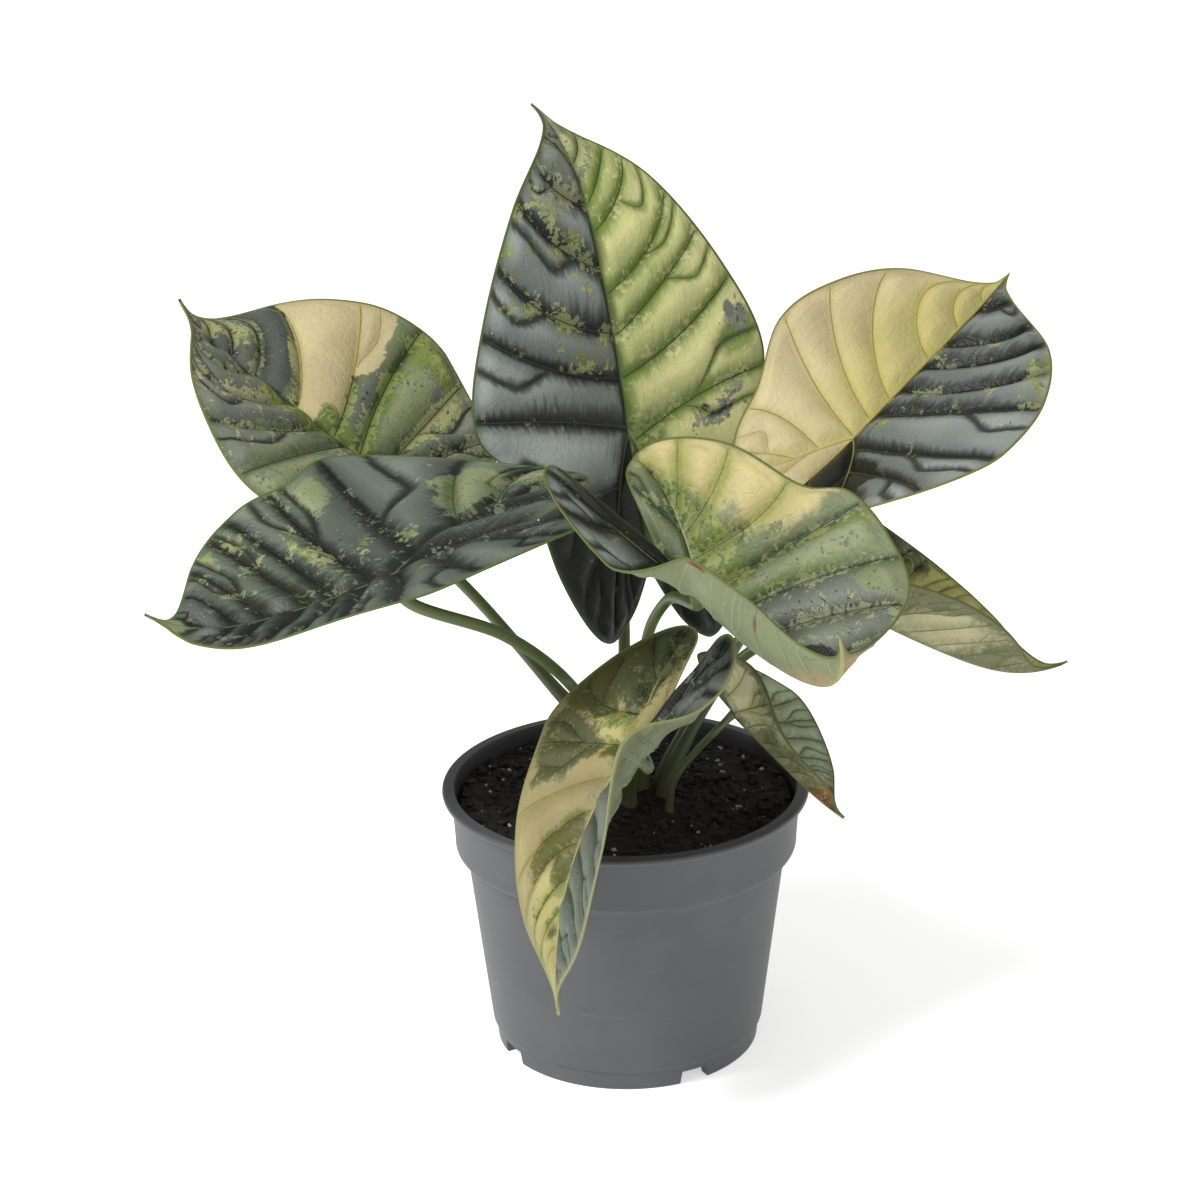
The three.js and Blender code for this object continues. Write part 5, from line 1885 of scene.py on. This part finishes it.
@dataclass
class SoilMaker:
    """Builds the soil bed in the pot, with loose crumbs, bark and perlite on it.

    Below holds the radius and level of the rings under the bed's rim, down to the pot's floor.
    """

    crown: tuple[float, float] = (6, -3)
    heap: float = 3.5
    heap_width: float = 15
    radius: float = 54.05
    rings: int = 90
    sides: int = 240
    below: tuple[tuple[float, float], ...] = ((54.05, 72.5), (50.75, 69.6), (42.9, 8.4), (41.5, 7.0))

    GRAIN_MARGIN = 0.8
    GRAIN_SMALLNESS = 2.5
    GRAIN_BUMPS = 0.38
    GRAIN_SPIN = 6.28
    GRAIN_TILT = 0.7
    GRAIN_RISE = 0.25
    STEM_CLEARANCE = 3.6

    def height(self, x: float, y: float) -> float:
        """The bed's height over a point.

        Args:
            x: the point's place to the right of the pot's axis.
            y: its place behind the axis.

        Returns:
            The height over the floor.
        """
        away = math.hypot(x - self.crown[0], y - self.crown[1])
        swell = SOIL_LEVEL + self.heap * math.exp(-((away / self.heap_width) ** 2))
        coarse = math.sin(0.31 * x + 1.3 * math.sin(0.23 * y)) * math.cos(0.27 * y + 0.9)
        fine = math.sin(0.83 * x - 0.5 * y) * math.sin(0.71 * y + 0.4 * x + 2)
        crumbs = noise.fractal(Vector((0.16 * x, 0.16 * y, 3)), 0.75, 2.1, 5)
        grit = noise.noise(Vector((0.9 * x, 0.9 * y, 9)))
        return swell + 0.7 * coarse + 0.25 * fine + 0.85 * crumbs + 0.35 * grit

    def bed(self) -> None:
        """Makes the bed itself, closed underneath."""
        crown = np.array([*self.crown, 0.0])
        rims = [crown[None]]
        for step in range(1, self.rings + 1):
            share = step / self.rings
            rims.append(ring(self.radius * share, 0, self.sides) + crown * (1 - share))
        top = np.concatenate(rims)
        top[:, 2] = [self.height(x, y) for x, y, _ in top]
        below = [ring(radius, level, self.sides) for radius, level in self.below]
        points = np.concatenate([top, *below, [(0, 0, self.below[-1][1])]])
        faces = closed_rings(self.rings + len(self.below), self.sides, flip=True)
        piece = mesh_piece("soil_bed", points, faces, [SoilFinish().material()])
        settle(piece, "soil", "soil")

    def grains(self, kind: Scatter) -> None:
        """Scatters loose grains on the bed in one piece, away from the stems' feet.

        Args:
            kind: which grains.
        """
        draw = np.random.default_rng(kind.seed)
        ball, ball_faces = pebble()
        least, most = kind.sizes
        points, faces = [], []
        while len(points) < kind.count:
            angle = draw.uniform(0, FULL_TURN)
            away = (self.radius - self.GRAIN_MARGIN) * math.sqrt(draw.uniform(0, 1))
            x, y = away * math.cos(angle), away * math.sin(angle)
            size = least + (most - least) * draw.uniform(0, 1) ** self.GRAIN_SMALLNESS
            squash = np.array([1, draw.uniform(0.6, 1), kind.flat * draw.uniform(0.7, 1.1)])
            bumps = 1 + self.GRAIN_BUMPS * draw.uniform(-1, 1, len(ball))[:, None]
            spin = Matrix.Rotation(draw.uniform(0, self.GRAIN_SPIN), 3, "Z")
            tilt = Matrix.Rotation(draw.uniform(-self.GRAIN_TILT, self.GRAIN_TILT), 3, "X")
            gaps = [math.hypot(x - stem.foot[0], y - stem.foot[1]) for stem in STEMS.values()]
            if min(gaps) < self.STEM_CLEARANCE + size:
                continue
            start = len(points) * len(ball)
            grain = (ball * bumps * squash * size) @ np.array(spin @ tilt)
            points.append(grain + np.array([x, y, self.height(x, y) + self.GRAIN_RISE * size]))
            faces += [tuple(start + number for number in face) for face in ball_faces]
        piece = mesh_piece(kind.finish.name, np.concatenate(points), faces, [kind.finish.material()])
        settle(piece, "soil")

    def build(self) -> None:
        """Makes the bed and everything that lies loose on it."""
        self.bed()
        for kind in SCATTERS:
            self.grains(kind)


def pebble() -> tuple[Array, list[Face]]:
    """A small ball of triangles: its points, and its faces facing out."""
    golden = (1 + 5**0.5) / 2
    points = [
        (-1, golden, 0), (1, golden, 0), (-1, -golden, 0), (1, -golden, 0), (0, -1, golden), (0, 1, golden),
        (0, -1, -golden), (0, 1, -golden), (golden, 0, -1), (golden, 0, 1), (-golden, 0, -1), (-golden, 0, 1),
    ]
    faces = [
        (0, 11, 5), (0, 5, 1), (0, 1, 7), (0, 7, 10), (0, 10, 11), (1, 5, 9), (5, 11, 4), (11, 10, 2),
        (10, 7, 6), (7, 1, 8), (3, 9, 4), (3, 4, 2), (3, 2, 6), (3, 6, 8), (3, 8, 9), (4, 9, 5),
        (2, 4, 11), (6, 2, 10), (8, 6, 7), (9, 8, 1),
    ]
    middle: dict[tuple[int, int], int] = {}
    split = []

    def between(a: int, b: int) -> int:
        """The number of the point halfway between two points."""
        key = (min(a, b), max(a, b))
        if key not in middle:
            middle[key] = len(points)
            points.append(tuple((p + q) / 2 for p, q in zip(points[a], points[b])))
        return middle[key]

    for a, b, c in faces:
        ab, bc, ca = between(a, b), between(b, c), between(c, a)
        split += [(a, ab, ca), (b, bc, ab), (c, ca, bc), (ab, bc, ca)]
    array = np.array(points, float)
    return array / np.linalg.norm(array, axis=1, keepdims=True), split


# Pot


@dataclass(frozen=True)
class PotFinish:
    """Satin grey moulded plastic with faint scuffs round it."""

    name: str = "pot_plastic"
    dark: Colour = tint(77, 78, 80)
    pale: Colour = tint(84, 85, 87)
    scuffed: Colour = tint(122, 123, 125)
    cloudy: Cloud = Cloud(35, 4, 0.6)
    grain: Cloud = Cloud(1500, 2, 0.6)
    scuffs: Cloud = Cloud(60, 4, 0.65)
    scuff_scale: tuple[float, float, float] = (1, 1, 9)

    def material(self) -> bpy.types.Material:
        """Makes the pot's material.

        Returns:
            The material.
        """
        shader = Shader(self.name)
        place = shader.place()
        cloudy = shader.cloud(place, self.cloudy)
        grain = shader.cloud(place, self.grain)
        scuffs = shader.cloud(shader.stretched(place, self.scuff_scale), self.scuffs)
        paint = shader.blend(cloudy.ease(0.35, 0.65), self.dark, self.pale)
        paint = shader.blend(scuffs.ease(0.62, 0.72) * 0.18, paint, self.scuffed)
        shader.set(Base_Color=paint, Roughness=0.42 + cloudy * 0.12 + grain * 0.05)
        shader.bump(grain * 0.6 + cloudy * 0.4, 0.12, 0.0002)
        return shader.material


@dataclass
class PotMaker:
    """Builds the nursery pot: rolled rim, wide band, tapering wall and notched foot ring."""

    rim_radius: float = 60
    height: float = 90
    band_radius: float = 57
    band_bottom: float = 69
    neck_radius: float = 52.4
    base_radius: float = 44.6
    foot_radius: float = 43.4
    foot_height: float = 6.6
    wall: float = 1.3
    sides: int = 192
    gap_angles: tuple[float, ...] = (30, 120, 210, 300)
    gap_width: float = 11
    gap_inward: float = 9
    gap_outward: float = 5
    gap_narrowing: float = 0.86
    drain_radius: float = 3.5
    drain_circle: float = 30
    drain_sides: int = 24
    sharp_angle: float = 38

    def outside(self) -> list[tuple[float, float]]:
        """The outer profile from the middle of the underside to the rim's top."""
        foot, step, base = self.foot_radius, self.foot_height, self.base_radius
        top, band, ledge, neck = self.height, self.band_radius, self.band_bottom, self.neck_radius
        plate = step - self.wall
        shoulder = [
            (band - 2.9 + 1.9 * math.sin(a), ledge + 2.0 - 2.0 * math.cos(a))
            for a in np.radians([5, 20, 35, 50, 65, 80, 90])
        ]
        lip = [
            (self.rim_radius - 1 + math.cos(a), top - 1.2 + 1.15 * math.sin(a))
            for a in np.radians([-60, -35, -10, 15, 40, 65, 90])
        ]
        return [
            (0, plate), (foot - 4.2, plate), (foot - 4, plate - 0.3), (foot - 4, 0.3), (foot - 3.7, 0),
            (foot - 0.4, 0), (foot, 0.4), (foot + 0.55, step - 0.9), (foot + 0.7, step + 0.1),
            (base + 0.15, step + 0.35), (base + 0.4, step + 0.9), (base + 0.5, step + 1.6),
            (neck - 0.25, ledge - 3.0), (neck, ledge - 0.9), (neck + 0.35, ledge - 0.2),
            *shoulder, (band - 0.9, ledge + 5), (band, top - 3.6), (band + 0.15, top - 3.0),
            (self.rim_radius - 1.4, top - 2.5), *lip,
        ]

    def inside(self) -> list[tuple[float, float]]:
        """The inner profile from the rim's top down to the middle of the floor."""
        band, neck, base = (
            radius - self.wall for radius in (self.band_radius, self.neck_radius, self.base_radius)
        )
        return [
            (band + 0.5, self.height - 0.05), (band + 0.1, self.height - 0.6), (band - 0.05, self.height - 3),
            (band - 1, self.band_bottom + 3), (neck, self.band_bottom + 0.2), (base, self.foot_height + 1.4),
            (base - 1.4, self.foot_height), (0, self.foot_height),
        ]

    def turned(self) -> tuple[Array, list[Face]]:
        """The profile turned about the axis: points and faces."""
        profile = self.outside() + self.inside()
        rings = [ring(radius, level, self.sides) for radius, level in profile[1:-1]]
        points = np.concatenate([[(0, 0, profile[0][1])], *rings, [(0, 0, profile[-1][1])]])
        return points, closed_rings(len(rings), self.sides)

    def gap(self, out: Array) -> tuple[Array, list[Face]]:
        """A block that cuts one gap into the foot ring.

        Args:
            out: the direction from the axis to the gap.

        Returns:
            Its points and faces.
        """
        side = np.array([-out[1], out[0]])
        points = []
        for level, spread in ((-2, 1.0), (self.foot_height - self.wall - 0.7, self.gap_narrowing)):
            wide = self.gap_width / 2 * spread
            inner, outer = self.foot_radius - self.gap_inward, self.foot_radius + self.gap_outward
            for away, across in ((inner, -wide), (outer, -wide), (outer, wide), (inner, wide)):
                points.append((*(out * away + side * across), level))
        faces = [(0, 3, 2, 1), (4, 5, 6, 7), (0, 1, 5, 4), (1, 2, 6, 5), (2, 3, 7, 6), (3, 0, 4, 7)]
        return np.array(points), faces

    def drain(self, out: Array) -> tuple[Array, list[Face]]:
        """A round bar that cuts one drain hole into the floor.

        Args:
            out: the direction from the axis to the hole.

        Returns:
            Its points and faces.
        """
        sides = self.drain_sides
        rims = [ring(self.drain_radius, self.foot_height + rise, sides) for rise in (-4, 4)]
        points = np.concatenate(rims) + np.array([*(out * self.drain_circle), 0])
        walls = [(k, (k + 1) % sides, sides + (k + 1) % sides, sides + k) for k in range(sides)]
        return points, [*walls, tuple(range(sides - 1, -1, -1)), tuple(range(sides, 2 * sides))]

    @staticmethod
    def cut(pot: bpy.types.Object, tool: bpy.types.Object) -> None:
        """Cuts a solid out of the pot for good, and removes the solid.

        Args:
            pot: the pot.
            tool: the solid to cut with.
        """
        step = pot.modifiers.new("cut", "BOOLEAN")
        step.operation, step.solver, step.object = "DIFFERENCE", "EXACT", tool
        graph = bpy.context.evaluated_depsgraph_get()
        done = bpy.data.meshes.new_from_object(pot.evaluated_get(graph))
        pot.modifiers.clear()
        pot.data = done
        bpy.data.objects.remove(tool)

    def build(self) -> None:
        """Makes the pot's piece and lets it stand for its solid."""
        pot = mesh_piece("nursery_pot", *self.turned(), [PotFinish().material()])
        for angle in np.radians(self.gap_angles):
            out = np.array([math.cos(angle), math.sin(angle)])
            self.cut(pot, mesh_piece("gap", *self.gap(out), []))
            self.cut(pot, mesh_piece("drain", *self.drain(out), []))
        pot.data.polygons.foreach_set("use_smooth", np.ones(len(pot.data.polygons), bool))
        pot.data.set_sharp_from_angle(angle=math.radians(self.sharp_angle))
        settle(pot, "pot", "pot")


# Studio


@dataclass
class Studio:
    """The floor, the soft lights and the camera.

    Angles are in degrees. The pot rim's centre, at the target height in millimetres, falls on the
    target pixel of a square frame.
    """

    view_angle: float = 20.0
    elevation: float = 24.25
    roll: float = 0.55
    distance: float = 1115.0
    frame_side: float = 1200.0
    target_height: float = 90.0
    target_pixel: tuple[float, float] = (625.4, 782.0)
    floor_side: float = 24000.0
    aim: tuple[float, float, float] = (0, 0, 0.12)

    SENSOR_WIDTH = 36
    CLIP = (0.05, 50)
    FLOOR_COLOUR = grey(0.96)
    FLOOR_GLOW = 0.5
    SKY = 0.48

    def camera(self) -> None:
        """Sets the camera."""
        tilt = math.radians(self.elevation)
        forward = np.array([0, math.cos(tilt), -math.sin(tilt)])
        right = np.array([1.0, 0, 0])
        level = np.stack([right, np.cross(right, forward), forward])
        half_view = math.tan(math.radians(self.view_angle / 2))
        half_side = self.frame_side / 2
        across = (self.target_pixel[0] / half_side - 1) * half_view
        up = (1 - self.target_pixel[1] / half_side) * half_view
        yaw, pitch = math.atan(across), math.atan2(up, math.hypot(across, 1))
        turned = Matrix.Rotation(yaw, 3, "Y") @ Matrix.Rotation(-pitch, 3, "X")
        turned = turned @ Matrix.Rotation(math.radians(self.roll), 3, "Z")
        view = np.array(turned) @ level
        eye = np.array([0, 0, self.target_height]) - self.distance * forward
        data = bpy.data.cameras.new("camera")
        data.sensor_width = self.SENSOR_WIDTH
        data.lens = self.SENSOR_WIDTH / 2 / half_view
        data.clip_start, data.clip_end = self.CLIP
        camera = bpy.data.objects.new("camera", data)
        bpy.context.scene.collection.objects.link(camera)
        axes = Matrix([list(view[0]), list(view[1]), list(-view[2])]).transposed().to_4x4()
        camera.matrix_world = Matrix.Translation(Vector(eye * MM) + AXIS) @ axes
        bpy.context.scene.camera = camera

    def floor(self) -> None:
        """A wide plain pale floor."""
        corners = np.array([(-1, -1, 0), (1, -1, 0), (1, 1, 0), (-1, 1, 0)]) * self.floor_side / 2
        shader = Shader("studio_floor")
        shader.set(Base_Color=self.FLOOR_COLOUR, Roughness=0.7, Specular_IOR_Level=0.1)
        shader.set(Emission_Color=grey(1.0), Emission_Strength=self.FLOOR_GLOW)
        floor = mesh_piece("floor", corners, [(0, 1, 2, 3)], [shader.material], centre=Vector((0, 0, 0)))

    def light(self, name: str, place: tuple[float, float, float], size: float, power: float) -> None:
        """Adds a soft square light that faces the plant.

        Args:
            name: the light's name.
            place: where it stands, in metres.
            size: its side, in metres.
            power: its power, in watts.
        """
        data = bpy.data.lights.new(name, "AREA")
        data.size, data.energy = size, power
        lamp = bpy.data.objects.new(name, data)
        lamp.location = place
        lamp.rotation_mode = "QUATERNION"
        lamp.rotation_quaternion = (Vector(self.aim) - Vector(place)).to_track_quat("-Z", "Y")
        bpy.context.scene.collection.objects.link(lamp)

    def build(self) -> None:
        """Makes the whole studio."""
        world = bpy.data.worlds.new("studio")
        world.use_nodes = True
        sky = world.node_tree.nodes["Background"].inputs
        sky["Color"].default_value = grey(1.0)
        sky["Strength"].default_value = self.SKY
        scene = bpy.context.scene
        scene.world = world
        scene.view_settings.view_transform = "Standard"
        self.floor()
        self.light("key", (-0.9, -0.7, 1.3), 0.5, 25)
        self.light("fill", (0.9, -1.3, 0.9), 1.2, 4)
        self.camera()


def main() -> None:
    """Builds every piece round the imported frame."""
    logging.basicConfig(level=logging.INFO, format="%(name)s %(message)s")
    Studio().build()
    PotMaker().build()
    SoilMaker().build()
    for number, (place, leaf) in enumerate(LEAVES.items()):
        StemMaker(place, STEMS[place], leaf).build()
        BladeMaker(place, leaf, LOOKS[place], seed=number + 1).build()
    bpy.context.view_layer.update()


if __name__ == "__main__":
    main()
